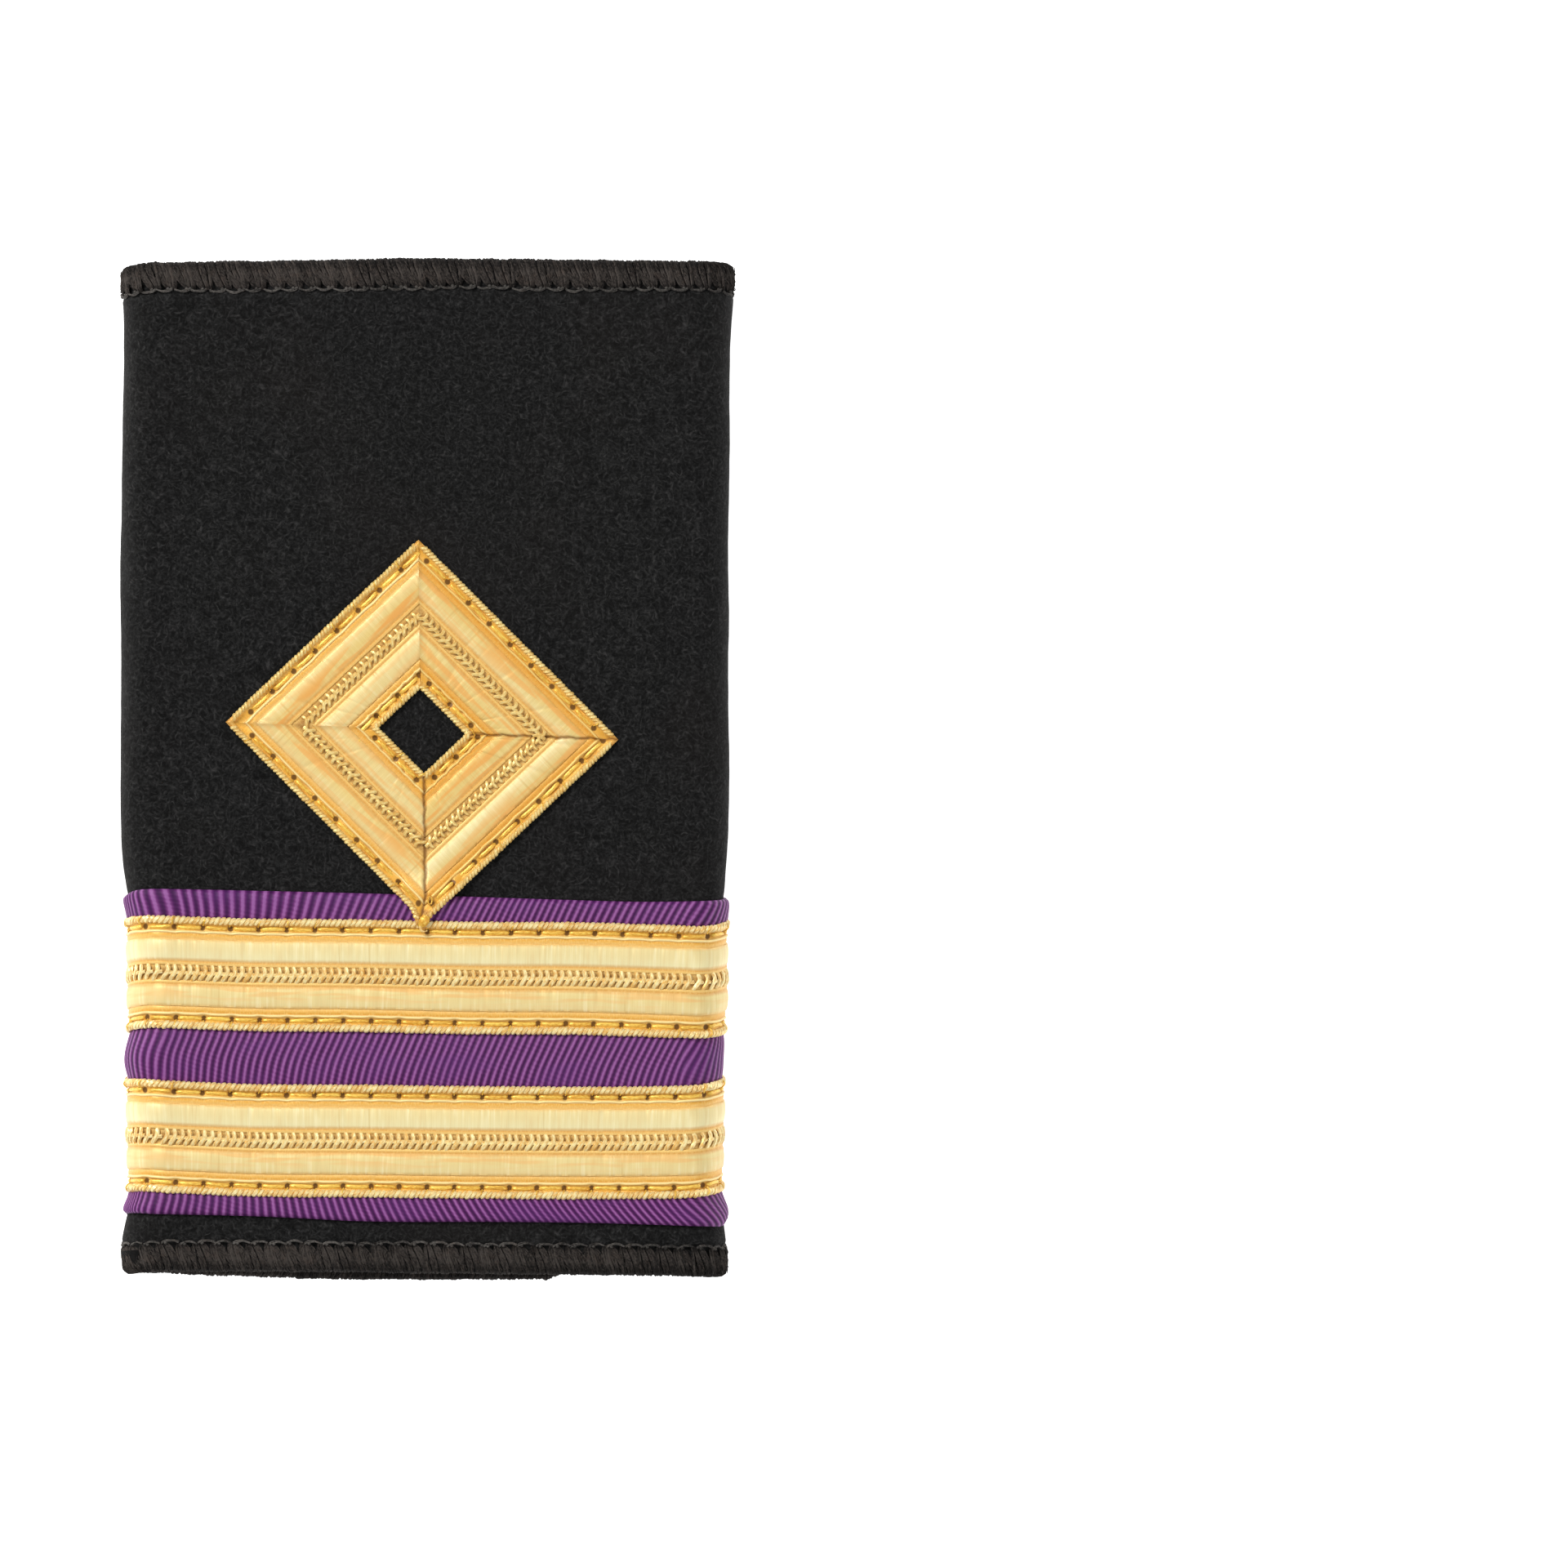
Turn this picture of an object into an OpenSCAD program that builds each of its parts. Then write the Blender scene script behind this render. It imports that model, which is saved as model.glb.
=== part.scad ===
// Slip-on epaulette slide. One strip of wool felt is folded into a flat sleeve, lapped and
// sewn at the back, and overlocked along its edges. A ribbed ribbon, two bands of gold lace
// and a mitred lace diamond are sewn onto it.
// The slide lies on its back: +X across it, +Y towards its upper hem, +Z out of its face.
// The origin is under the middle of the slide, on the surface that it lies on.

/* [Sleeve] */
// Width of the flattened sleeve at its widest
sleeve_w = 60.76; // [54:0.02:70]
// Length of the sleeve over its two overlocked hems
sleeve_l = 101.2; // [90:0.1:130]
// Thickness of the felt
felt_t = 1.6; // [1.2:0.1:2]
// Clear height of the hollow at the middle
hollow_h = 5.2; // [4.8:0.1:7]
// How far the middle of the face stands above its two sides
face_crown = 0.4; // [0:0.1:1]
// How far each side fold reaches past the flat of the face
fold_reach = 3.2; // [2.6:0.1:4]
// How far a hem curves back between its middle and a side fold
hem_bow = 0.8; // [0:0.1:1.1]

/* [Back lap] */
// Distance of the back panel's free edge from the middle of the slide
panel_edge = 13.6; // [8:0.1:17]
// Distance of the hidden inner end of the flap from the middle, on the other side
flap_end = 14.4; // [12:0.1:16]
// Gap between the back panel and the flap that lies over it
lap_gap = 0.35; // [0.3:0.05:0.6]
// Radius of the lower corner of the back panel's free edge
corner_r = 2; // [0.5:0.1:3]

/* [Overlock] */
// Thickness of the wound thread
thread_t = 0.35; // [0.25:0.05:0.5]
// Width of the thread along the two hems
hem_band = 2.7; // [2:0.1:4]
// Width of the thread along the free edge of the back panel
edge_band = 3.8; // [2:0.1:5]
// How far the stitch squeezes each face of the felt
pinch = 0.3; // [0.2:0.05:0.4]
// Gap between the thread and the felt
thread_gap = 0.06; // [0.04:0.01:0.1]

/* [Ribbon] */
// Width of the ribbed ribbon
ribbon_w = 32.7; // [31:0.1:36]
// Thickness of the ribbon
ribbon_t = 0.25; // [0.2:0.05:0.4]
// How far the ribbon puffs out between the bands of lace
ribbon_puff = 0.35; // [0:0.05:0.6]
// Distance of the ribbon's end at the back from the side fold
ribbon_end = 13.4; // [10:0.1:14]
// How far that end slants between the upper and the lower edge of the ribbon
ribbon_slant = 2; // [0:0.1:3]
// Gap between a trim and what it lies on
seat_gap = 0.06; // [0.04:0.01:0.1]

/* [Lace] */
// Width of the gold lace
lace_w = 11; // [9:0.1:12]
// Thickness of the gold lace
lace_t = 0.6; // [0.5:0.05:0.8]
// Distance between the middles of the two bands of lace
lace_step = 16.4; // [14:0.1:18]
// Height of the middle of the trims above the lower hem
trim_rise = 21.8; // [21.6:0.1:26]
// Distance of the turned-in lace ends at the back from the side fold
lace_end = 13.9; // [10:0.1:14]
// Length of the turned-in end of a band of lace
turn_in = 2; // [1:0.1:3]
// Thickness that the turned-in end adds
turn_in_t = 0.12; // [0:0.02:0.2]
// How far the trims drift from level between the face and the back
trim_lean = 1; // [0:0.1:1.5]

/* [Diamond] */
// Long side of the lace diamond
diamond_long = 28; // [24:0.1:30]
// Short side of the lace diamond
diamond_short = 26.3; // [24:0.1:30]
// Long side of the square hole in the diamond
hole_long = 6.4; // [4:0.1:8]
// Short side of the square hole in the diamond
hole_short = 5.7; // [4:0.1:8]
// How far the long side falls from level
long_fall = 45; // [42:0.5:48]
// How far the short side rises from level
short_rise = 43.4; // [42:0.2:48]
// Height of the middle of the diamond above the upper edge of the upper band of lace
diamond_rise = 18.9; // [18:0.1:24]
// Distance of the middle of the diamond from the middle of the slide
diamond_x = -0.5; // [-2:0.1:2]
// How far the lower corner is pulled to the left
tip_left = 0.6; // [0:0.05:1]
// How far the lower corner is pulled down
tip_down = 0.6; // [0:0.05:1]

/* [Hidden] */

half_w = sleeve_w / 2;
half_l = sleeve_l / 2;
trim_y = trim_rise - half_l;
upper_lace_y = trim_y + lace_step / 2;
lower_lace_y = trim_y - lace_step / 2;
diamond_y = upper_lace_y + lace_w / 2 + diamond_rise;
// The ribbon lies this much higher than the middle of the laces
ribbon_shift = 0.2;
ribbon_low = trim_y + ribbon_shift - ribbon_w / 2;
ribbon_high = trim_y + ribbon_shift + ribbon_w / 2;

// The thread lies partly in the squeezed felt and stands proud of it by the rest
thread_proud = thread_t + thread_gap - pinch;
hem_over = thread_t + thread_gap;
// The thread's outer face falls by this much just before the hem
thread_drop = 0.3;
// The felt stays squeezed this far past the thread's inner side
squeeze_on = 0.1;
// Past its thread the felt swells back to its full thickness over this length
swell_l = 0.5;
// Distance from a hem over which the sleeve's sides round off
hem_round = 1.2;

// Gaps between the trims at the back, on the panel and on the flap, and the surface below
rest_gap = 0.02;
flap_gap = 0.1;

// Heights above the surface that the slide lies on
lace_seat = 2 * seat_gap + ribbon_t;
trim_stack = lace_seat + lace_t;
left_rise = trim_stack + turn_in_t + rest_gap;
right_h = trim_stack + flap_gap;
flap_h = felt_t + lap_gap;
face_h = flap_h + 2 * felt_t + hollow_h - face_crown;

// Where the back panel lifts off the surface towards the trims' ends, as distances from the middle
lift_from = 6;
lift_lead = 0.6;
lift_to = half_w - lace_end - lift_lead;
// Above the ribbon, the panel keeps its lift for a while and then sinks to a share of it
lift_hold = 3;
lift_fade = 14;
lift_rest = 0.3;
// Gap between the trims' ends on the flap and the thread along the panel's free edge
trim_gap = 0.35;
// A turned-in lace end starts this far inside the end, and fades out over a length
turn_edge = 0.3;
turn_fade = 0.5;
// The upper corner of the free edge is rounded by this share of the lower one's
upper_corner = 0.4;
// Where the flap sinks beside the panel's free edge, as distances from the middle
ramp_from = panel_edge + 1;
ramp_to = mix(panel_edge, half_w - fold_reach, 0.6);

// Reach of the felt's two sides at the marks along the slide. The trims' stitches pull it in.
// Columns: mark, share of the half width at the left and at the right side
OUTLINE = [
    [0,  0.982, 0.966], // lower hem
    [1,  0.998, 0.976], // end of its rounding
    [2,  1.000, 0.975], // inner side of its thread
    [3,  0.980, 0.958], // below the ribbon
    [4,  0.953, 0.937], // lower edge of the lower lace
    [5,  0.958, 0.941], // upper edge of the lower lace
    [6,  0.966, 0.941], // between the laces
    [7,  0.951, 0.945], // lower edge of the upper lace
    [8,  0.958, 0.954], // upper edge of the upper lace
    [9,  0.980, 0.969], // above the ribbon
    [10, 0.999, 0.982], // clear of the trims
    [11, 1.000, 0.981],
    [12, 1.000, 0.983],
    [13, 0.996, 0.984],
    [14, 0.992, 0.987],
    [15, 0.991, 0.993],
    [16, 0.995, 0.998], // inner side of the upper thread
    [17, 0.997, 0.999], // end of the upper hem's rounding
    [18, 0.990, 0.990]  // upper hem
];
// Marks 10 to 15 lie at these shares of the way from the ribbon to the upper hem
CLEAR_SHARES = [0.09, 0.29, 0.58, 0.74, 0.90, 0.965];

// How far the two hems curve back round the sleeve.
// Columns: place round the sleeve (0 free edge, 1 left fold begins, 2 face begins, 3 right
// fold begins, 4 flap begins, 5 inner end), shares of the bow at the upper and the lower hem
HEMS = [
    [0.0, 0.8, 0.0],
    [0.5, 0.7, 0.0],
    [0.8, 0.9, 0.4],
    [1.0, 0.9, 0.8],
    [1.5, 1.1, 0.8],
    [2.0, 0.45, 1.1],
    [2.2, 0.3, 1.1],
    [2.5, 0.0, 0.9],
    [2.8, 0.2, 0.7],
    [3.0, 0.3, 0.5],
    [3.5, 0.7, 0.5],
    [4.0, 0.9, 1.3],
    [4.3, 0.8, 1.5],
    [5.0, 0.8, 1.5]
];

// How far the trims drift along the slide round the sleeve.
// Columns: place round the sleeve, shares of the drift of the ribbon's upper edge, of the
// upper and the lower lace, and of the ribbon's lower edge
DRIFT = [
    [0.7, -0.9, -1.0, -0.55, -0.8],
    [0.82, -1.15, -0.9, -0.25, -0.4],
    [0.93, -1.3, -0.7, 0.2, 0.25],
    [1.05, -1.0, -0.4, 0.75, 0.9],
    [1.5, -0.2, 0.15, 0.75, 1.0],
    [2.0, 0.4, 0.55, 0.65, 0.95],
    [2.17, 0.12, 0.27, 0.3, 0.73],
    [2.35, -0.2, 0.2, 0.25, 0.25],
    [2.6, -0.6, -0.05, 0.1, 0.18],
    [2.8, -0.85, -0.1, 0.05, 0.05],
    [2.9, -0.75, -0.25, 0.05, -0.12],
    [3.0, -0.43, -0.42, 0.12, -0.3],
    [3.5, 0.1, 0.1, 0.95, 0.7],
    [4.0, -0.1, 0.4, 1.4, 1.5],
    [4.15, -0.45, 0.2, 1.15, 1.35],
    [4.3, -0.5, 0.2, 0.95, 1.1]
];

// Relief across the lace, from its edge to its middle.
// Columns: share of the width, share of the thickness
RELIEF = [
    [0.000, 0.50],
    [0.030, 1.00],
    [0.065, 0.55],
    [0.140, 0.60],
    [0.280, 0.95],
    [0.390, 0.75],
    [0.500, 0.95]
];

FELT_COLOUR = [0.12, 0.12, 0.12];
THREAD_COLOUR = [0.2, 0.19, 0.19];
RIBBON_COLOUR = [0.43, 0.24, 0.42];
LACE_COLOUR = [0.92, 0.79, 0.48];

function mix(a, b, t) = a + (b - a) * t;
function clamp01(t) = min(1, max(0, t));
function ease(a, b, x) = let (t = clamp01((x - a) / (b - a))) t * t * (3 - 2 * t);
function column(table, k) = [for (row = table) [row[0], row[k]]];

LEFT_REACH = column(OUTLINE, 1);
RIGHT_REACH = column(OUTLINE, 2);
UPPER_BOW = column(HEMS, 1);
LOWER_BOW = column(HEMS, 2);
RIBBON_TOP_DRIFT = column(DRIFT, 1);
UPPER_LACE_DRIFT = column(DRIFT, 2);
LOWER_LACE_DRIFT = column(DRIFT, 3);
RIBBON_FOOT_DRIFT = column(DRIFT, 4);

// A place round the sleeve is [stretch, u]. The stretches are 0 back panel, 1 left fold,
// 2 face, 3 right fold and 4 flap. On a flat stretch u is x, and on a fold its angle.
flat_x = half_w - fold_reach;
function round_key(s) =
    s[0] == 0 ? (panel_edge - s[1]) / (panel_edge + flat_x) :
    s[0] == 2 ? 2 + clamp01((s[1] + flat_x) / (2 * flat_x)) :
    s[0] == 4 ? 4 + clamp01((flat_x - s[1]) / (flat_x + flap_end)) :
    s[0] + s[1] / 180;
function is_fold(s) = s[0] == 1 || s[0] == 3;

// Hem lines at a place, with the rounded corners of the panel's free edge
function corner_cut(s) =
    let (d = s[0] == 0 ? max(0, panel_edge - s[1]) : corner_r)
    d < corner_r ? corner_r - sqrt(pow(corner_r, 2) - pow(corner_r - d, 2)) : 0;
function hem_high(s) =
    half_l - hem_bow * lookup(round_key(s), UPPER_BOW) - upper_corner * corner_cut(s);
function hem_low(s) = hem_bow * lookup(round_key(s), LOWER_BOW) + corner_cut(s) - half_l;

// Heights of the lace's and the ribbon's edges at a place
function lace_y(s, middle, side) =
    let (drift = middle < trim_y ? LOWER_LACE_DRIFT : UPPER_LACE_DRIFT)
    middle + side * lace_w / 2 + trim_lean * lookup(round_key(s), drift);
function ribbon_top(s) = ribbon_high + trim_lean * lookup(round_key(s), RIBBON_TOP_DRIFT);
function ribbon_foot(s) = ribbon_low + trim_lean * lookup(round_key(s), RIBBON_FOOT_DRIFT);

// Distances of the marks above and below the ribbon from it, and their least spacing
above_ribbon = 0.6;
below_ribbon = 0.15;
mark_gap = 0.1;

// Heights of the marks at a place, from the lower to the upper hem
function marks(s) =
    let (low = hem_low(s), high = hem_high(s), above = ribbon_top(s) + above_ribbon,
         bound = low + hem_band + squeeze_on, last = high - hem_band - squeeze_on)
    [low, low + hem_round, bound, max(ribbon_foot(s) - below_ribbon, bound + swell_l + mark_gap),
     lace_y(s, lower_lace_y, -1), lace_y(s, lower_lace_y, 1), lace_y(s, trim_y, 0),
     lace_y(s, upper_lace_y, -1), lace_y(s, upper_lace_y, 1), above,
     for (share = CLEAR_SHARES) mix(above, last, share),
     last, high - hem_round, high];

// Share of the overlock's squeeze at a distance from the edge that it binds
function squeeze(distance, band) = 1 - clamp01((distance - band - squeeze_on) / swell_l);
function edge_squeeze(s) = s[0] == 0 ? squeeze(panel_edge - s[1], edge_band) : 0;

// A level at a place is its height, its mark and its share of the hems' squeeze
function level(s, y) =
    let (heights = marks(s))
    [y,
     lookup(y, [for (k = [0 : len(heights) - 1]) [heights[k], k]]),
     squeeze(min(y - heights[0], heights[len(heights) - 1] - y), hem_band)];

// Ends of the flat stretches at a level
function flat_left(w) = half_w * lookup(w[1], LEFT_REACH) - fold_reach;
function flat_right(w) = half_w * lookup(w[1], RIGHT_REACH) - fold_reach;

// Heights of the felt's outer faces at x and a level. The back panel and the flap lift
// towards the trims' ends, and the flap sinks to its own trims beyond the panel's free edge.
function lift(x, w) =
    let (share = mix(1, lift_rest, ease(0, lift_fade, w[0] - ribbon_high - lift_hold)))
    left_rise * share * ease(lift_from, lift_to, -x) + thread_proud * w[2];
function panel_z(x, w) =
    lift(x, w) + thread_proud * (1 - w[2]) * squeeze(panel_edge - x, edge_band);
function flap_z(x, w) = mix(flap_h, right_h, ease(ramp_from, ramp_to, x)) + lift(x, w);
function face_z(x, w) =
    let (end = x < 0 ? flat_left(w) : flat_right(w))
    face_h + face_crown * (1 + cos(180 * min(1, abs(x) / end))) / 2;
function fold_foot(s, w) = s[0] == 1 ? panel_z(-flat_left(w), w) : flap_z(flat_right(w), w);

// Point of the felt's outer face in the cross-section, as [x, z]
function outer(s, w) =
    s[0] == 0 ? [s[1], panel_z(s[1], w)] :
    s[0] == 2 ? [s[1], face_z(s[1], w)] :
    s[0] == 4 ? [s[1], flap_z(s[1], w)] :
    s[0] == 1 ?
        [-flat_left(w) - fold_reach * sin(s[1]), mix(fold_foot(s, w), face_h, (1 - cos(s[1])) / 2)] :
        [flat_right(w) + fold_reach * sin(s[1]), mix(fold_foot(s, w), face_h, (1 + cos(s[1])) / 2)];

// Unit vector from the outer face into the felt
function inward(s, w) =
    let (step = 0.05,
         turned = s[0] == 2 ? 1 : -1,
         run = turned * (outer([s[0], s[1] + step], w) - outer([s[0], s[1] - step], w)),
         way = s[0] == 1 ? 1 : -1,
         rise = (face_h - fold_foot(s, w)) / 2,
         n = is_fold(s) ? way * [rise * sin(s[1]), fold_reach * cos(s[1])] : [run[1], -run[0]])
    n / norm(n);

// Point at a height y along the slide, raised off the felt's outer face by out
function raised(s, y, out) =
    let (w = level(s, y), q = outer(s, w) - out * inward(s, w))
    [q[0], y, q[1]];

// Places round the sleeve. Stations on the folds and the face are shared by all the pieces.
FOLD_STEPS = 6;
FACE_STEPS = 8;
LEFT_FOLD = [for (i = [0 : FOLD_STEPS]) [1, 180 * i / FOLD_STEPS]];
RIGHT_FOLD = [for (i = [0 : FOLD_STEPS]) [3, 180 * i / FOLD_STEPS]];
FACE = [for (i = [1 : FACE_STEPS - 1]) [2, mix(-flat_x, flat_x, i / FACE_STEPS)]];
BEND = concat(LEFT_FOLD, FACE, RIGHT_FOLD);
RAMP = [for (x = [ramp_to, mix(ramp_from, ramp_to, 0.5), ramp_from]) [4, x]];
CORNER_SHARES = [0, 0.125, 0.375, 1];
LIFT_SHARES = [0, 0.3, 0.55, 0.8, 1];
PANEL = [
    for (share = CORNER_SHARES) [0, panel_edge - share * corner_r],
    for (more = [0, swell_l]) [0, panel_edge - edge_band - squeeze_on - more],
    [0, 0],
    for (share = LIFT_SHARES) [0, -mix(lift_from, lift_to, share)],
    [0, -mix(lift_to, flat_x, 0.5)]
];
FLAP = [for (x = [0, -lift_from, -mix(lift_from, lift_to, 0.4), -flap_end]) [4, x]];
ROUND = concat(PANEL, BEND, RAMP, FLAP);

// Solid through rings of equally many points. Each ring lists its outer side and then its
// inner side back again, so its end faces close pair by pair.
module loft(rings, closed = false) {
    n = len(rings);
    m = len(rings[0]);
    last = closed ? n - 1 : n - 2;
    sides = [
        for (i = [0 : last], j = [0 : m - 1], k = [0, 1])
            let (a = i * m + j, b = i * m + (j + 1) % m,
                 c = ((i + 1) % n) * m + j, d = ((i + 1) % n) * m + (j + 1) % m)
            k == 0 ? [a, d, b] : [a, c, d]
    ];
    ends = closed ? [] : [
        for (i = [0, n - 1], j = [0 : floor(m / 2) - 2], k = [0, 1])
            let (a = i * m + j, b = a + 1, c = i * m + m - 2 - j, d = c + 1,
                 face = k == 0 ? [a, b, c] : [a, c, d])
            i == 0 ? face : [face[2], face[1], face[0]]
    ];
    polyhedron([for (ring = rings) each ring], concat(sides, ends), convexity = 10);
}

// Heights of the felt's stations: its marks, its own ends inside the thread, and where it has
// swelled back to its full thickness
function felt_heights(s) =
    let (heights = marks(s), last = len(heights) - 1)
    [heights[0] + hem_over, heights[1], heights[2], heights[2] + swell_l,
     for (k = [3 : last - 3]) heights[k],
     heights[last - 2] - swell_l, heights[last - 2], heights[last - 1], heights[last] - hem_over];
function felt_point(s, y, depth) =
    let (squeezed = pinch * max(level(s, y)[2], edge_squeeze(s)))
    raised(s, y, -mix(squeezed, felt_t - squeezed, depth));

module felt_sleeve() {
    rings = [
        for (s = ROUND)
            let (heights = felt_heights(s))
            [for (y = heights) felt_point(s, y, 0),
             for (k = [len(heights) - 1 : -1 : 0]) felt_point(s, heights[k], 1)]
    ];
    color(FELT_COLOUR) loft(rings);
}

// Section of the wound thread round a felt edge of the given band width.
// Columns: distance past the felt's edge, height above the felt's outer face
function thread_section(band) =
    let (tip = thread_gap + thread_t,
         shoulder = 0.6 * thread_t,
         bend = hem_over - hem_round,
         sunk = thread_gap - pinch)
    [[-band, thread_proud], [bend, thread_proud], [thread_gap + shoulder, thread_proud - thread_drop],
     [tip, -felt_t / 2], [thread_gap + shoulder, thread_drop - felt_t - thread_proud],
     [bend, -felt_t - thread_proud], [-band, -felt_t - thread_proud],
     [-band, -felt_t - sunk], [bend, -felt_t - sunk], [thread_gap, -felt_t - sunk],
     [thread_gap, -felt_t / 2], [thread_gap, sunk], [bend, sunk], [-band, sunk]];

module hem_overlock(side) {
    band = hem_band - hem_over;
    rings = [
        for (s = ROUND)
            let (edge = side > 0 ? hem_high(s) - hem_over : hem_low(s) + hem_over,
                 ring = [for (q = thread_section(band)) raised(s, edge + side * q[0], q[1])])
            side > 0 ? [for (k = [len(ring) - 1 : -1 : 0]) ring[k]] : ring
    ];
    color(THREAD_COLOUR) loft(rings);
}

module top_overlock() {
    hem_overlock(1);
}

module bottom_overlock() {
    hem_overlock(-1);
}

module edge_overlock() {
    corner = [0, panel_edge];
    low = hem_low(corner) + hem_band;
    high = hem_high(corner) - hem_band;
    steps = 8;
    rings = [
        for (i = [0 : steps])
            [for (q = thread_section(edge_band))
                raised([0, panel_edge + q[0]], mix(low, high, i / steps), q[1])]
    ];
    color(THREAD_COLOUR) loft(rings);
}

// Places round the sleeve for a trim: from its end on the back panel, round both folds, to
// its end on the flap beside the panel's free edge
function trim_places(end_x, steps) = concat(
    [for (d = steps) [0, end_x - d]],
    BEND,
    RAMP,
    [[4, panel_edge + hem_over + trim_gap]]
);

// Rows across the ribbon at a place, as [height, share of the puff]. It lies flat under the
// laces and beside them, puffs out softly between them and ends in a rounded lip.
beside = 0.1;
soft_l = 0.8;
soft_share = 0.8;
lip_l = 0.3;
lip_share = 0.6;
function ribbon_rows(s) =
    let (low = ribbon_foot(s), high = ribbon_top(s),
         edges = [lace_y(s, lower_lace_y, -1), lace_y(s, lower_lace_y, 1),
                  lace_y(s, upper_lace_y, -1), lace_y(s, upper_lace_y, 1)])
    [[low, 0], [low + lip_l, lip_share], [mix(low, edges[0], 0.5), 1], [edges[0] - beside, 0],
     [edges[1] + beside, 0], [edges[1] + soft_l, soft_share], [lace_y(s, trim_y, 0), 1],
     [edges[2] - soft_l, soft_share], [edges[2] - beside, 0],
     [edges[3] + beside, 0], [mix(high, edges[3], 0.5), 1], [high - lip_l, lip_share], [high, 0]];

// The slant of the ribbon's end fades out over this length
slant_reach = 4;
// The ribbon's end slants: near it, a place moves sideways with its height on the ribbon
function slanted(s, y, near) =
    [s[0], s[1] + near * ribbon_slant * (0.5 - (y - ribbon_low) / (ribbon_high - ribbon_low))];

module ribbon() {
    end_x = ribbon_end - half_w;
    rings = [
        for (s = trim_places(end_x, [0, slant_reach / 10, slant_reach]))
            let (rows = ribbon_rows(s),
                 near = s[0] == 0 ? 1 - (end_x - s[1]) / slant_reach : 0)
            [for (row = rows)
                 raised(slanted(s, row[0], near), row[0], seat_gap + ribbon_t + ribbon_puff * row[1]),
             for (k = [len(rows) - 1 : -1 : 0])
                 raised(slanted(s, rows[k][0], near), rows[k][0], seat_gap)]
    ];
    color(RIBBON_COLOUR) loft(rings);
}

// Full relief across the lace, as [share of the width from -0.5 to 0.5, share of thickness]
FULL_RELIEF = [
    for (row = RELIEF) [row[0] - 0.5, row[1]],
    for (k = [len(RELIEF) - 2 : -1 : 0]) [0.5 - RELIEF[k][0], RELIEF[k][1]]
];

// Extra height of the turned-in end at a distance from it
function turned_in(d) =
    d < turn_edge ? 0 : turn_in_t * (1 - ease(turn_in, turn_in + turn_fade, d));

module lace_band(middle_y) {
    end_x = lace_end - half_w;
    rings = [
        for (s = trim_places(end_x, [0, turn_edge, turn_in, turn_in + turn_fade]))
            let (y = lace_y(s, middle_y, 0),
                 extra = s[0] == 0 ? turned_in(end_x - s[1]) : 0)
            [for (q = FULL_RELIEF)
                 raised(s, y + lace_w * q[0], lace_seat + lace_t * q[1] + extra),
             for (k = [len(FULL_RELIEF) - 1 : -1 : 0])
                 raised(s, y + lace_w * FULL_RELIEF[k][0], lace_seat)]
    ];
    color(LACE_COLOUR) loft(rings);
}

module upper_lace() {
    lace_band(upper_lace_y);
}

module lower_lace() {
    lace_band(lower_lace_y);
}

// Corners of the diamond from its long and short half sides: top, right, bottom and left
LONG_WAY = [cos(long_fall), -sin(long_fall)];
SHORT_WAY = [cos(short_rise), sin(short_rise)];
function diamond_corners(a, b, pull) = [
    for (k = [[-1, 1, 0], [1, 1, 0], [1, -1, 1], [-1, -1, 0]])
        [diamond_x, diamond_y] + k[0] * a / 2 * LONG_WAY + k[1] * b / 2 * SHORT_WAY + k[2] * pull
];
DIAMOND_OUT = diamond_corners(diamond_long, diamond_short, [-tip_left, -tip_down]);
DIAMOND_IN = diamond_corners(hole_long, hole_short, [0, 0]);

// The diamond's lower corner lies over the ribbon and reaches onto the upper band of lace.
// It climbs onto each from a little way off.
climb_lead = 0.2;
ribbon_climb = 2.5;
lace_climb = 2;
function climbed(edge, run, y) = 1 - ease(edge + climb_lead, edge + climb_lead + run, y);
function diamond_seat(y) =
    let (lace_edge = upper_lace_y + lace_w / 2,
         ribbon_edge = ribbon_high + trim_lean * lookup(2.4, RIBBON_TOP_DRIFT))
    seat_gap
    + (ribbon_t + ribbon_puff + seat_gap) * climbed(ribbon_edge, ribbon_climb, y)
    + (lace_t - ribbon_puff + seat_gap) * climbed(lace_edge, lace_climb, y);

module lace_diamond() {
    steps = 6;
    rings = [
        for (side = [0 : 3], i = [0 : steps - 1])
            let (next = (side + 1) % 4,
                 start = mix(DIAMOND_OUT[side], DIAMOND_OUT[next], i / steps),
                 end = mix(DIAMOND_IN[side], DIAMOND_IN[next], i / steps))
            [for (q = FULL_RELIEF) diamond_point(start, end, q[0] + 0.5, lace_t * q[1]),
             for (k = [len(FULL_RELIEF) - 1 : -1 : 0])
                 diamond_point(start, end, FULL_RELIEF[k][0] + 0.5, 0)]
    ];
    color(LACE_COLOUR) loft(rings, closed = true);
}

function diamond_point(start, end, share, height) =
    let (q = mix(start, end, share))
    [q[0], q[1], face_z(q[0], level([2, q[0]], q[1])) + diamond_seat(q[1]) + height];

felt_sleeve();
top_overlock();
bottom_overlock();
edge_overlock();
ribbon();
upper_lace();
lower_lace();
lace_diamond();
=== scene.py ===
"""The looks of a slip-on epaulette slide: felt sleeve, overlocked hems, ribbon and gold lace.

Lengths are in millimetres and turned into metres when a mesh is made. A point of the slide is
given by its way round the sleeve (0 in the middle of the face, growing to the right), its
height along the sleeve, and how far it stands off the felt's outer face.
"""

import math
from collections import namedtuple

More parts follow.
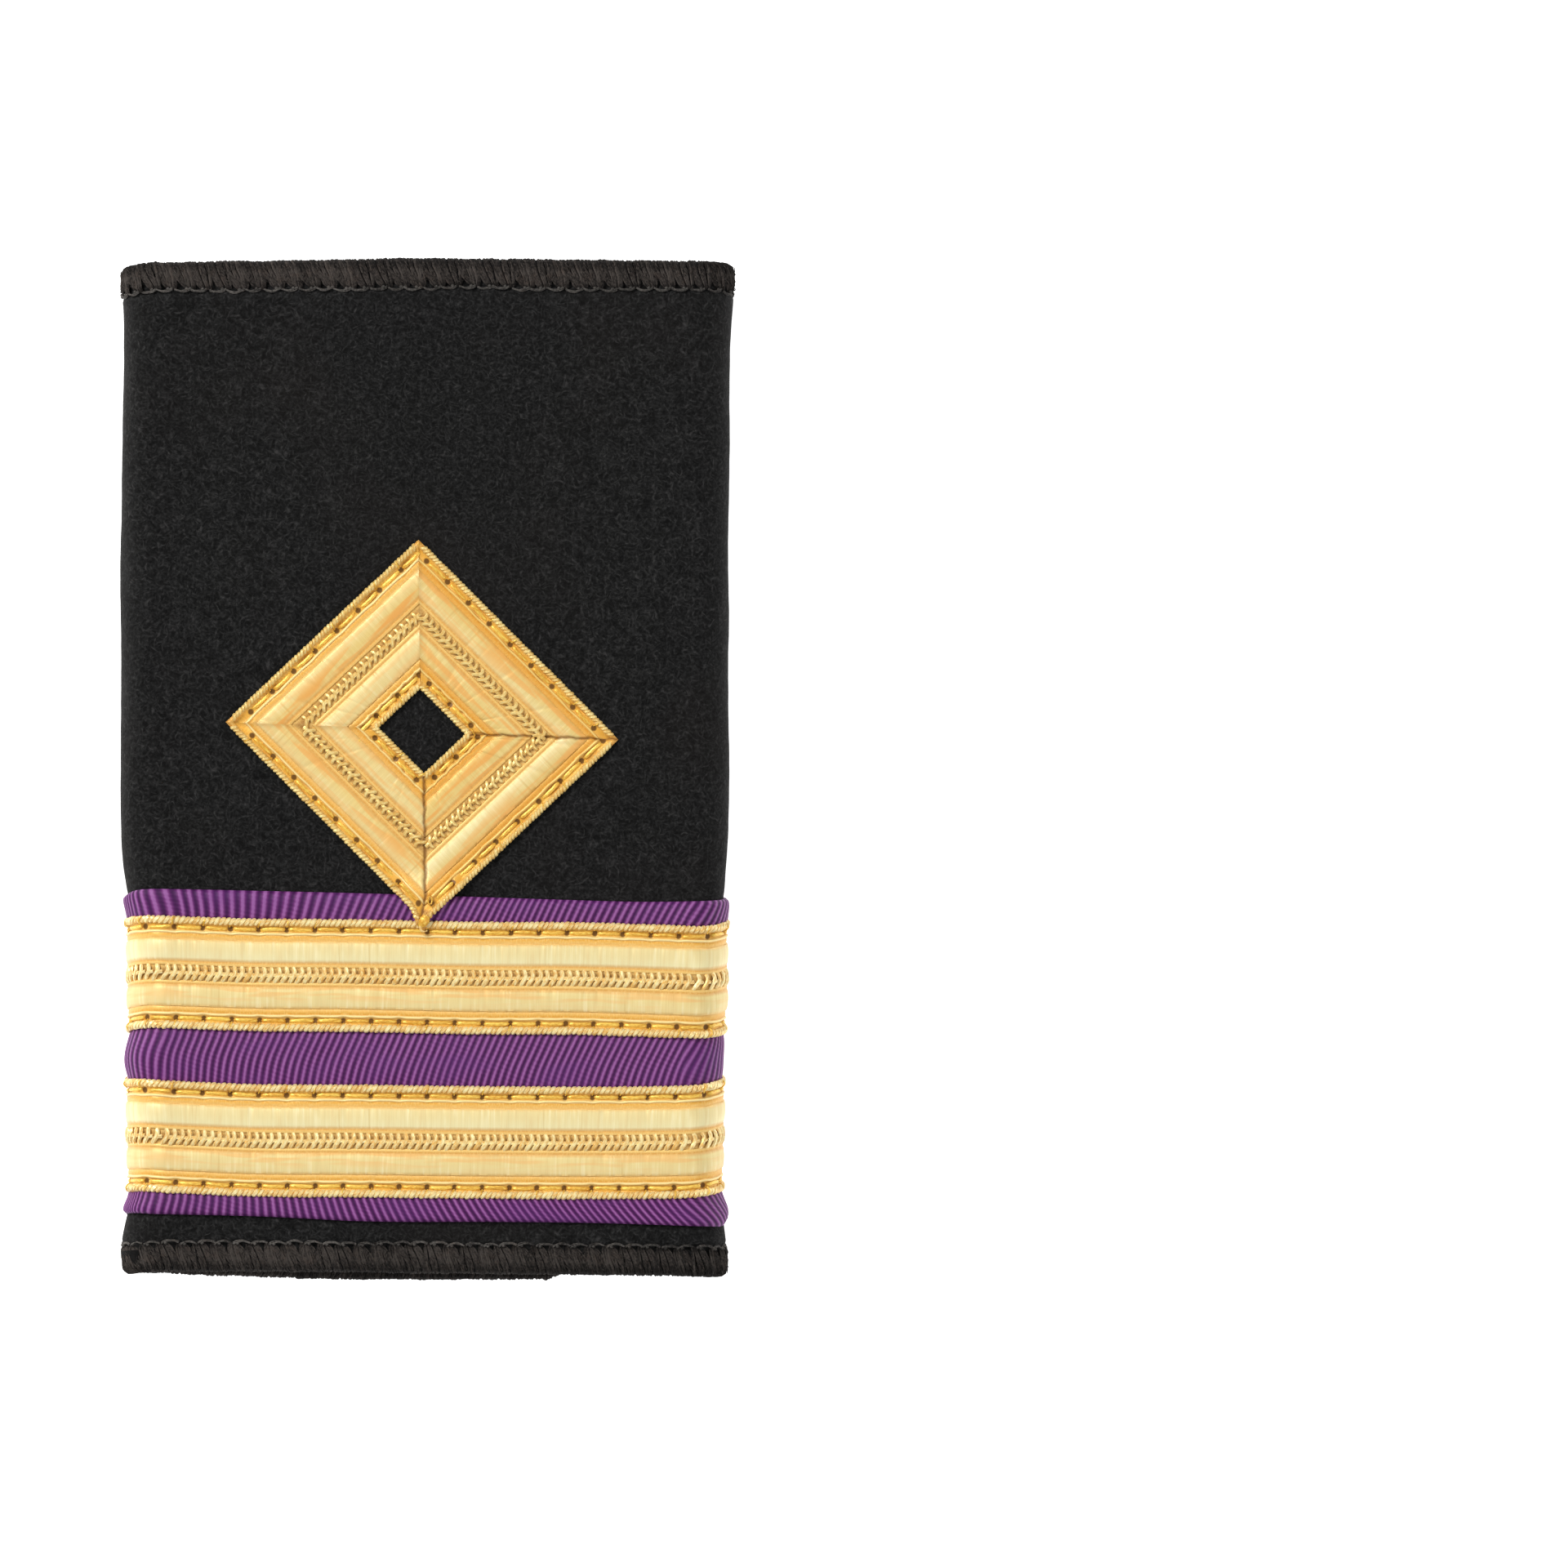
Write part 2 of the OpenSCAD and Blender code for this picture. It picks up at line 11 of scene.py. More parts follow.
import bpy
import numpy as np
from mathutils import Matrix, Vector


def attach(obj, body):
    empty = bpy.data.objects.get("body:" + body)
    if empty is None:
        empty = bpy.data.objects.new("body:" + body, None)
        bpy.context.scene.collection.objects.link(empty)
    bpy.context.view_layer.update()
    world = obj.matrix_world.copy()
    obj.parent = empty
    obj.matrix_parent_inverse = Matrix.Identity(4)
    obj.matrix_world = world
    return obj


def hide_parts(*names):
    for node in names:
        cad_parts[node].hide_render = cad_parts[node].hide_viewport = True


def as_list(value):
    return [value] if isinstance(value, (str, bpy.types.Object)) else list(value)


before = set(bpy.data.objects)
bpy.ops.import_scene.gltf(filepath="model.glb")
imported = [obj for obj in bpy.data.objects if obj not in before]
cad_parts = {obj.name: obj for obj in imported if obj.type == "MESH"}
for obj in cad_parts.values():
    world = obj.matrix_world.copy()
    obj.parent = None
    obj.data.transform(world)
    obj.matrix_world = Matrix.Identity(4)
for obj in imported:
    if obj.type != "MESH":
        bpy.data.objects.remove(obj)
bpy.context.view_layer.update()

MM = 0.001
# Edges that turn more than this stay crisp
SHARP = math.radians(50)

# Sleeve
SLEEVE_W = 60.76
SLEEVE_L = 101.2
FELT_T = 1.6
HOLLOW_H = 5.2
FACE_CROWN = 0.4
FOLD_REACH = 3.2
HEM_BOW = 0.8
PANEL_EDGE = 13.6
FLAP_END = 14.4
LAP_GAP = 0.35
CORNER_R = 2.0

# Overlock
THREAD_T = 0.35
HEM_BAND = 2.7
EDGE_BAND = 3.8
PINCH = 0.3
THREAD_GAP = 0.06

# Ribbon and lace
RIBBON_W = 32.7
RIBBON_T = 0.25
RIBBON_PUFF = 0.35
RIBBON_END = 13.4
SEAT_GAP = 0.06
LACE_W = 11.0
LACE_T = 0.6
LACE_STEP = 16.4
TRIM_RISE = 21.8
LACE_END = 13.9
TURN_IN = 2.0
TURN_IN_T = 0.12
TRIM_LEAN = 1.0

# Diamond
DIAMOND_LONG = 28.0
DIAMOND_SHORT = 26.3
HOLE_LONG = 6.4
HOLE_SHORT = 5.7
LONG_FALL = math.radians(45.0)
SHORT_RISE = math.radians(43.4)
DIAMOND_RISE = 18.9
DIAMOND_X = -0.5
TIP_LEFT = 0.6
TIP_DOWN = 0.6

HALF_W = SLEEVE_W / 2
HALF_L = SLEEVE_L / 2
FLAT_X = HALF_W - FOLD_REACH
TRIM_Y = TRIM_RISE - HALF_L
UPPER_LACE_Y = TRIM_Y + LACE_STEP / 2
LOWER_LACE_Y = TRIM_Y - LACE_STEP / 2
RIBBON_SHIFT = 0.2
RIBBON_LOW = TRIM_Y + RIBBON_SHIFT - RIBBON_W / 2
RIBBON_HIGH = TRIM_Y + RIBBON_SHIFT + RIBBON_W / 2
DIAMOND_Y = UPPER_LACE_Y + LACE_W / 2 + DIAMOND_RISE

THREAD_PROUD = THREAD_T + THREAD_GAP - PINCH
HEM_OVER = THREAD_T + THREAD_GAP
SQUEEZE_ON = 0.1
SWELL_L = 0.5
HEM_ROUND = 1.2
LACE_SEAT = 2 * SEAT_GAP + RIBBON_T
TRIM_STACK = LACE_SEAT + LACE_T
LEFT_RISE = TRIM_STACK + TURN_IN_T + 0.02
RIGHT_H = TRIM_STACK + 0.1
FLAP_H = FELT_T + LAP_GAP
FACE_H = FLAP_H + 2 * FELT_T + HOLLOW_H - FACE_CROWN
LIFT_FROM = 6.0
LIFT_TO = HALF_W - LACE_END - 0.6
LIFT_HOLD = 3.0
LIFT_FADE = 14.0
LIFT_REST = 0.3
UPPER_CORNER = 0.4
RAMP_FROM = PANEL_EDGE + 1
RAMP_TO = PANEL_EDGE + 0.6 * (FLAT_X - PANEL_EDGE)

# Way round a side fold, and the marks round the sleeve: free edge, left fold begins, face
# begins, right fold begins, flap begins, inner end of the flap
FOLD_WAY = 12.6
ROUND = np.array(
    [
        -2 * FLAT_X - FOLD_WAY - PANEL_EDGE,
        -FLAT_X - FOLD_WAY,
        -FLAT_X,
        FLAT_X,
        FLAT_X + FOLD_WAY,
        2 * FLAT_X + FOLD_WAY + FLAP_END,
    ]
)
# On the back, the trims' stitches draw the cloth in over this length beside each fold
DRAWN_IN = 10.2

# Reach of the sleeve's sides at the marks along it.
# Columns: share of the half width at the left and at the right side
OUTLINE = np.array(
    [
        (0.982, 0.966),  # lower hem
        (0.998, 0.976),  # end of its rounding
        (1.000, 0.975),  # inner side of its thread
        (0.980, 0.958),  # below the ribbon
        (0.953, 0.937),  # lower edge of the lower lace
        (0.958, 0.941),  # upper edge of the lower lace
        (0.966, 0.941),  # between the laces
        (0.951, 0.945),  # lower edge of the upper lace
        (0.958, 0.954),  # upper edge of the upper lace
        (0.980, 0.969),  # above the ribbon
        (0.999, 0.982),  # clear of the trims
        (1.000, 0.981),
        (1.000, 0.983),
        (0.996, 0.984),
        (0.992, 0.987),
        (0.991, 0.993),
        (0.995, 0.998),  # inner side of the upper thread
        (0.997, 0.999),  # end of the upper hem's rounding
        (0.990, 0.990),  # upper hem
    ]
)
CLEAR_SHARES = (0.09, 0.29, 0.58, 0.74, 0.90, 0.965)

# How far the two hems curve back round the sleeve.
# Columns: mark round the sleeve, shares of the bow at the upper and the lower hem
HEMS = np.array(
    [
        (0.0, 0.8, 0.0),
        (0.5, 0.7, 0.0),
        (0.8, 0.9, 0.4),
        (1.0, 0.9, 0.8),
        (1.5, 1.1, 0.8),
        (2.0, 0.45, 1.1),
        (2.2, 0.3, 1.1),
        (2.5, 0.0, 0.9),
        (2.8, 0.2, 0.7),
        (3.0, 0.3, 0.5),
        (3.5, 0.7, 0.5),
        (4.0, 0.9, 1.3),
        (4.3, 0.8, 1.5),
        (5.0, 0.8, 1.5),
    ]
)

# How far the trims drift along the sleeve round it. Columns: mark round the sleeve, shares of
# the drift of the ribbon's upper edge, of the upper and the lower lace, and of the ribbon's
# lower edge
DRIFT = np.array(
    [
        (0.7, -0.9, -1.0, -0.55, -0.8),
        (0.82, -1.15, -0.9, -0.25, -0.4),
        (0.93, -1.3, -0.7, 0.2, 0.25),
        (1.05, -1.0, -0.4, 0.75, 0.9),
        (1.5, -0.2, 0.15, 0.75, 1.0),
        (2.0, 0.4, 0.55, 0.65, 0.95),
        (2.17, 0.12, 0.27, 0.3, 0.73),
        (2.35, -0.2, 0.2, 0.25, 0.25),
        (2.6, -0.6, -0.05, 0.1, 0.18),
        (2.8, -0.85, -0.1, 0.05, 0.05),
        (2.9, -0.75, -0.25, 0.05, -0.12),
        (3.0, -0.43, -0.42, 0.12, -0.3),
        (3.5, 0.1, 0.1, 0.95, 1.4),
        (4.0, -0.1, 0.4, 1.4, 1.5),
        (4.15, -0.45, 0.2, 1.15, 1.35),
        (4.3, -0.5, 0.2, 0.95, 1.1),
    ]
)


def mix(a, b, share):
    """A share of the way from a to b."""
    return a + (b - a) * share


def ease(a, b, x):
    """0 before a, 1 after b, and smooth between them."""
    t = np.clip((x - a) / (b - a), 0, 1)
    return t * t * (3 - 2 * t)


def between_rows(t, step, rows, slopes):
    """Smooth way from one row to the next. Rows and slopes are pairs of start and end."""
    return (
        (2 * t**3 - 3 * t**2 + 1) * rows[0]
        + (t**3 - 2 * t**2 + t) * step * slopes[0]
        + (3 * t**2 - 2 * t**3) * rows[1]
        + (t**3 - t**2) * step * slopes[1]
    )


def soft_table(table, key):
    """Columns of a table at a key, smooth through its rows."""
    table = np.asarray(table, float)
    keys, rows = table[:, 0], table[:, 1:]
    slopes = np.gradient(rows, keys, axis=0)
    i = np.clip(np.searchsorted(keys, key, side="right") - 1, 0, len(keys) - 2)
    step = keys[i + 1] - keys[i]
    t = np.clip((key - keys[i]) / step, 0, 1)[..., None]
    return between_rows(t, step[..., None], (rows[i], rows[i + 1]), (slopes[i], slopes[i + 1]))


def round_mark(way):
    """The mark round the sleeve that a way has come to, with its share to the next."""
    return np.interp(way, ROUND, np.arange(6.0))


def fold_angle(way, start):
    """Angle round a side fold, from 0 at its start, evenly spaced along its oval."""
    t = np.linspace(0, math.pi, 181)
    half_h = (FACE_H - (LEFT_RISE + RIGHT_H) / 2) / 2
    run = np.hypot(FOLD_REACH * np.cos(t), half_h * np.sin(t))
    length = np.concatenate([[0], np.cumsum((run[1:] + run[:-1]) / 2)])
    return np.interp((way - start) / FOLD_WAY, length / length[-1], t)


def hems(way):
    """Heights of the lower and the upper hem, with the free edge's rounded corners."""
    bow = soft_table(HEMS, round_mark(way)) * HEM_BOW
    inside = np.clip(way - ROUND[0], 0, CORNER_R)
    cut = CORNER_R - np.sqrt(np.maximum(CORNER_R**2 - (CORNER_R - inside) ** 2, 0))
    return bow[..., 1] + cut - HALF_L, HALF_L - bow[..., 0] - UPPER_CORNER * cut


def drift(way):
    """Drift of the ribbon's upper edge, the upper lace, the lower lace and its lower edge."""
    return np.moveaxis(soft_table(DRIFT, round_mark(way)) * TRIM_LEAN, -1, 0)


def marks(way):
    """Heights of the marks along the sleeve, from the lower to the upper hem."""
    low, high = hems(way)
    top, upper, lower, foot = drift(way)
    bound = low + HEM_BAND + SQUEEZE_ON
    last = high - HEM_BAND - SQUEEZE_ON
    above = RIBBON_HIGH + top + 0.6
    return np.stack(
        [
            low,
            low + HEM_ROUND,
            bound,
            np.maximum(RIBBON_LOW + foot - 0.15, bound + SWELL_L + 0.1),
            LOWER_LACE_Y - LACE_W / 2 + lower,
            LOWER_LACE_Y + LACE_W / 2 + lower,
            TRIM_Y + upper,
            UPPER_LACE_Y - LACE_W / 2 + upper,
            UPPER_LACE_Y + LACE_W / 2 + upper,
            above,
            *[mix(above, last, share) for share in CLEAR_SHARES],
            last,
            high - HEM_ROUND,
            high,
        ],
        -1,
    )


def squeeze(distance, band):
    """Share of the overlock's squeeze at a distance from the edge that it binds."""
    return 1 - np.clip((distance - band - SQUEEZE_ON) / SWELL_L, 0, 1)


def reaches(way, y):
    """Ends of the flats at the left and the right, and the hems' squeeze, at a point."""
    heights = marks(way)
    y = np.asarray(y, float)
    last = len(OUTLINE) - 1
    i = np.clip((y[..., None] >= heights).sum(-1) - 1, 0, last - 1)

    def at(k):
        return np.take_along_axis(heights, np.clip(k, 0, last)[..., None], -1)[..., 0]

    def slope(k):
        before, after = np.clip(k - 1, 0, last), np.clip(k + 1, 0, last)
        return (OUTLINE[after] - OUTLINE[before]) / (at(after) - at(before))[..., None]

    step = (at(i + 1) - at(i))[..., None]
    t = np.clip((y - at(i))[..., None] / step, 0, 1)
    share = between_rows(t, step, (OUTLINE[i], OUTLINE[i + 1]), (slope(i), slope(i + 1)))
    hem = squeeze(np.minimum(y - heights[..., 0], heights[..., -1] - y), HEM_BAND)
    left, right = np.moveaxis(share * HALF_W - FOLD_REACH, -1, 0)
    return left, right, hem


def lift(x, y, hem):
    """How far the threads and the trims under the back hold its cloth up."""
    fade = mix(1, LIFT_REST, ease(0, LIFT_FADE, y - RIBBON_HIGH - LIFT_HOLD))
    return LEFT_RISE * fade * ease(LIFT_FROM, LIFT_TO, -x) + THREAD_PROUD * hem


def section(way, y, span):
    """Across and up of the felt's outer face at a way round a cross-section."""
    left, right, hem = span
    foot_left, start_face, end_face, foot_right = ROUND[1:5]

    def panel_height(x):
        edge = squeeze(PANEL_EDGE - x, EDGE_BAND)
        return lift(x, y, hem) + THREAD_PROUD * (1 - hem) * edge

    def flap_height(x):
        return mix(FLAP_H, RIGHT_H, ease(RAMP_FROM, RAMP_TO, x)) + lift(x, y, hem)

    def drawn(distance, end):
        return (FLAT_X - end) * np.clip((distance - FLAT_X) / DRAWN_IN + 1, 0, 1)

    behind = foot_left - way
    panel_x = -FLAT_X + behind + drawn(FLAT_X - np.maximum(behind, 0), left)
    beyond = way - foot_right
    flap_x = FLAT_X - beyond - drawn(FLAT_X - np.maximum(beyond, 0), right)
    end = np.where(way < 0, left, right)
    face_x = way * end / FLAT_X
    crown = (1 + np.cos(math.pi * np.minimum(1, np.abs(face_x) / end))) / 2
    left_turn = fold_angle(way, foot_left)
    right_turn = fold_angle(way, end_face)
    places = [way < foot_left, way < start_face, way <= end_face, way < foot_right]
    x = np.select(
        places,
        [
            panel_x,
            -left - FOLD_REACH * np.sin(left_turn),
            face_x,
            right + FOLD_REACH * np.sin(right_turn),
        ],
        flap_x,
    )
    z = np.select(
        places,
        [
            panel_height(panel_x),
            mix(panel_height(-left), FACE_H, (1 - np.cos(left_turn)) / 2),
            FACE_H + FACE_CROWN * crown,
            mix(flap_height(right), FACE_H, (1 + np.cos(right_turn)) / 2),
        ],
        flap_height(flap_x),
    )
    return x, z


def frames(way, y):
    """Points on the felt's outer face with their outward normals."""
    way, y = np.broadcast_arrays(np.asarray(way, float), np.asarray(y, float))
    span = reaches(way, y)
    step = 0.05
    x, z = section(way, y, span)
    before = section(way - step, y, span)
    after = section(way + step, y, span)
    ahead, up = after[0] - before[0], after[1] - before[1]
    run = np.hypot(ahead, up)
    return np.stack([x, y, z], -1), np.stack([-up / run, np.zeros_like(x), ahead / run], -1)


def raised(way, y, out):
    """Points that stand out off the felt's outer face."""
    point, normal = frames(way, y)
    return point + normal * np.asarray(out, float)[..., None]


def way_of(x, panel=True):
    """Way round the sleeve of a point of the back panel, or of the flap, away from the folds."""
    return ROUND[1] - (x + FLAT_X) if panel else ROUND[4] + FLAT_X - x


def face_way(x, y):
    """Way round the sleeve of a point of the face."""
    left, right, _ = reaches(x, y)
    return x * FLAT_X / np.where(x < 0, left, right)


class Wire:
    """A socket that maths is written on: each operator adds its own Math node."""

    def __init__(self, graph, socket):
        self.graph, self.socket = graph, socket

    def maths(self, operation, *values, turned=False):
        given = [self, *values]
        if turned:
            given.reverse()
        return self.graph.add("ShaderNodeMath", {"operation": operation}, dict(enumerate(given)))

    def __add__(self, other):
        return self.maths("ADD", other)

    def __radd__(self, other):
        return self.maths("ADD", other, turned=True)

    def __sub__(self, other):
        return self.maths("SUBTRACT", other)

    def __rsub__(self, other):
        return self.maths("SUBTRACT", other, turned=True)

    def __mul__(self, other):
        return self.maths("MULTIPLY", other)

    def __rmul__(self, other):
        return self.maths("MULTIPLY", other, turned=True)

    def __truediv__(self, other):
        return self.maths("DIVIDE", other)

    def __abs__(self):
        return self.maths("ABSOLUTE")

    def wave(self):
        """-1 to 1 and back, once as this value grows by 1."""
        return (self * (2 * math.pi)).maths("COSINE")

    def between(self, low, high):
        """0 below low, 1 above high, and smooth between them."""
        return self.graph.add(
            "ShaderNodeMapRange",
            {"interpolation_type": "SMOOTHSTEP"},
            {"Value": self, "From Min": low, "From Max": high},
        )


class Graph:
    """A node tree that is built node by node."""

    def __init__(self, tree):
        self.tree = tree

    def add(self, kind, settings=None, values=None, output=0):
        node = self.tree.nodes.new(kind)
        for name, value in (settings or {}).items():
            if name == "stops":
                self.fill_ramp(node.color_ramp, value)
            else:
                setattr(node, name, value)
        for name, value in (values or {}).items():
            if isinstance(value, Wire):
                self.tree.links.new(value.socket, node.inputs[name])
            else:
                node.inputs[name].default_value = value
        return Wire(self, node.outputs[output]) if node.outputs else node

    def fill_ramp(self, ramp, stops):
        while len(ramp.elements) < len(stops):
            ramp.elements.new(0.5)
        for element, (place, colour) in zip(ramp.elements, stops):
            element.position = place
            element.color = (*colour, 1)


class Finish(Graph):
    """A material made of nodes. A pattern follows the cloth through the piece's lay attribute:
    millimetres along it, millimetres across it, and a share of its own."""

    def __init__(self, name):
        self.material = bpy.data.materials.new(name)
        self.material.use_nodes = True
        super().__init__(self.material.node_tree)
        self.tree.nodes.clear()

    def attribute(self, name):
        return self.add("ShaderNodeAttribute", {"attribute_name": name}, output="Vector")

    def parts(self, vector):
        split = self.add("ShaderNodeSeparateXYZ", {}, {"Vector": vector})
        node = split.socket.node
        return [Wire(self, socket) for socket in node.outputs]

    def joined(self, *values):
        return self.add("ShaderNodeCombineXYZ", {}, dict(enumerate(values)))

    def noise(self, vector, scale, detail, roughness=0.5):
        """Noise from 0 to 1 over a vector."""
        values = {"Vector": vector, "Scale": scale, "Detail": detail, "Roughness": roughness}
        return self.add("ShaderNodeTexNoise", {}, values)

    def grain(self, along, across, seed, detail=1.0, roughness=0.5):
        """Noise from 0 to 1 over ways along and across the cloth, each already scaled."""
        return self.noise(self.joined(along, across, seed), 1.0, detail, roughness)

    def blend(self, share, a, b, way="MIX"):
        """Colour a turning into colour b."""
        colours = [value if isinstance(value, Wire) else (*value, 1) for value in (a, b)]
        return self.add(
            "ShaderNodeMix",
            {"data_type": "RGBA", "blend_type": way},
            {"Factor": share, 6: colours[0], 7: colours[1]},
            output=2,
        )

    def painted(self, colour, *coats):
        """A colour with coats over it. Each coat is its share and its 0 to 255 values."""
        for share, values in coats:
            colour = self.blend(share, colour, shade(*values))
        return colour

    def shades(self, share, stops):
        """Colours over a share. Each stop is its share and its 0 to 255 values."""
        stops = [(place, shade(*colour)) for place, colour in stops]
        return self.add("ShaderNodeValToRGB", {"stops": stops}, {"Fac": share})

    def bump(self, height, depth, strength):
        values = {"Height": height, "Distance": depth * MM, "Strength": strength}
        return self.add("ShaderNodeBump", {}, values)

    def finish(self, colour, roughness, normal, specular, **fixed):
        """Closes the material. Specular and fixed sockets take plain numbers or colours."""
        values = {"Base Color": colour, "Roughness": roughness, "Specular IOR Level": specular}
        if normal is not None:
            values["Normal"] = normal
        values.update({name.replace("_", " "): value for name, value in fixed.items()})
        shader = self.add("ShaderNodeBsdfPrincipled", {}, values)
        self.add("ShaderNodeOutputMaterial", {}, {"Surface": shader})
        return self.material


def shade(*srgb):
    """A colour given by its 0 to 255 values."""
    return tuple(
        c / 12.92 if c <= 0.04045 else ((c + 0.055) / 1.055) ** 2.4
        for c in (value / 255 for value in srgb)
    )


def shown(name, data):
    """An object of some data, linked to the scene."""
    made = bpy.data.objects.new(name, data)
    bpy.context.scene.collection.objects.link(made)
    return made


def store(mesh, **fields):
    """Keeps a vector for every point of a mesh under each field's name."""
    for field, values in fields.items():
        layer = mesh.attributes.new(field, "FLOAT_VECTOR", "POINT")
        layer.data.foreach_set("vector", np.asarray(values, np.float32).ravel())


def make_mesh(name, points, faces, material=None, **fields):
    """A smooth mesh of points in millimetres. Each field is a vector at every point."""
    mesh = bpy.data.meshes.new(name)
    mesh.from_pydata((np.asarray(points) * MM).tolist(), [], faces)
    mesh.shade_smooth()
    mesh.set_sharp_from_angle(angle=SHARP)
    store(mesh, **fields)
    if material is not None:
        mesh.materials.append(material)
    return shown(name, mesh)


def loft(rings, closed=False, paired=False):
    """Points and faces of a skin through rings of equally many points, with its two ends
    closed. A ring runs up its outer side and back down its inner side. Paired ends are closed
    by strips between the two sides."""
    n, m = rings.shape[:2]
    i = np.arange(n if closed else n - 1)[:, None]
    j = np.arange(m)[None]
    here, there = i * m, (i + 1) % n * m
    turned = (j + 1) % m
    corners = [here + j, there + j, there + turned, here + turned]
    faces = np.stack(corners, -1).reshape(-1, 4).tolist()
    if paired:
        k = np.arange(m // 2 - 1)
        strips = np.stack([k, k + 1, m - 2 - k, m - 1 - k], -1)
        faces += strips.tolist() + (strips[:, ::-1] + (n - 1) * m).tolist()
    elif not closed:
        faces.append(list(range(m)))
        faces.append(list(range(n * m - 1, (n - 1) * m - 1, -1)))
    return rings.reshape(-1, 3), faces


def spaced(*stretches):
    """Stations from (end, step) pairs after a start, joined without doubles."""
    stations = [stretches[0]]
    for end, step in stretches[1:]:
        count = max(1, round(abs(end - stations[-1]) / step))
        stations += np.linspace(stations[-1], end, count + 1)[1:].tolist()
    return np.array(stations)


def tube(points, radius, sides=8, flat=1.0, lobes=0, depth=0.0, across=(0, 1, 0), tone=0.5):
    """Points, faces and lay of a thread along points, round or flattened. Its wide way lies
    along across. Radius may vary along it, lobes round its section stand for filaments, and
    tone sets it apart from other strands of its unit."""
    points = np.asarray(points, float)
    n = len(points)
    radius = np.broadcast_to(np.asarray(radius, float), (n,))
    way = np.gradient(points, axis=0)
    way /= np.linalg.norm(way, axis=1)[:, None]
    across = np.asarray(across, float)
    side = across - (way @ across)[:, None] * way
    side /= np.linalg.norm(side, axis=1)[:, None]
    top = np.cross(way, side)
    turn = np.linspace(0, 2 * math.pi, sides, endpoint=False)
    reach = radius[:, None] * (1 + depth * np.cos(lobes * turn))
    wide = (reach * np.cos(turn))[..., None]
    high = (reach * np.sin(turn) * flat)[..., None]
    rings = points[:, None] + side[:, None] * wide + top[:, None] * high
    run = np.concatenate([[0], np.cumsum(np.linalg.norm(np.diff(points, axis=0), axis=1))])
    lay = np.stack(np.broadcast_arrays(run[:, None], turn[None] / (2 * math.pi), tone), -1)
    i = np.arange(n - 1)[:, None] * sides
    j = np.arange(sides)[None]
    k = (j + 1) % sides
    corners = [i + j, i + k, i + sides + k, i + sides + j]
    faces = np.stack(corners, -1).reshape(-1, 4).tolist()
    faces.append(list(range(sides - 1, -1, -1)))
    faces.append(list(range((n - 1) * sides, n * sides)))
    return rings.reshape(-1, 3), faces, lay.reshape(-1, 3)


def curved(points, count):
    """A smooth line of count points through a few points."""
    table = np.column_stack([np.arange(len(points)), np.asarray(points, float)])
    return soft_table(table, np.linspace(0, len(points) - 1, count))


def joined(*shapes):
    """Several (points, faces, lay) as one."""
    points, faces, lays, count = [], [], [], 0
    for shape_points, shape_faces, shape_lay in shapes:
        points.append(shape_points)
        faces += [[count + k for k in face] for face in shape_faces]
        lays.append(shape_lay)
        count += len(shape_points)
    return np.concatenate(points), faces, np.concatenate(lays)


def make_unit(name, *shapes):
    """A unit that a row repeats; drop removes it once its row is made."""
    points, faces, lay = joined(*shapes)
    return make_mesh(name, points, faces, lay=lay)


ROW_INPUTS = (
    ("Unit 1", "NodeSocketObject"),
    ("Unit 2", "NodeSocketObject"),
    ("Unit 3", "NodeSocketObject"),
    ("Pitch", "NodeSocketFloat"),
    ("Size Spread", "NodeSocketFloat"),
    ("Turn Spread", "NodeSocketFloat"),
    ("Seed", "NodeSocketInt"),
    ("Material", "NodeSocketMaterial"),
)


def open_tree(name, inputs):
    """A geometry tree with a Geometry input and output and other named inputs."""
    tree = bpy.data.node_groups.new(name, "GeometryNodeTree")
    for label, kind in (("Geometry", "NodeSocketGeometry"), *inputs):
        tree.interface.new_socket(label, in_out="INPUT", socket_type=kind)
    tree.interface.new_socket("Geometry", in_out="OUTPUT", socket_type="NodeSocketGeometry")
    graph = Graph(tree)
    source = tree.nodes.new("NodeGroupInput")
    return graph, {s.name: Wire(graph, s) for s in source.outputs if s.name}


def picked_units(graph, given):
    """The tree's three units, joined so that one can be picked for each point."""
    join = graph.tree.nodes.new("GeometryNodeJoinGeometry")
    for k in (1, 2, 3):
        asked = {"Object": given[f"Unit {k}"], "As Instance": True}
        unit = graph.add("GeometryNodeObjectInfo", {}, asked, output="Geometry")
        graph.tree.links.new(unit.socket, join.inputs[0])
    return Wire(graph, join.outputs[0])


def drawn_at_random(graph, kind, values, output=0):
    """A random value for each point or instance."""
    return graph.add("FunctionNodeRandomValue", {"data_type": kind}, values, output)


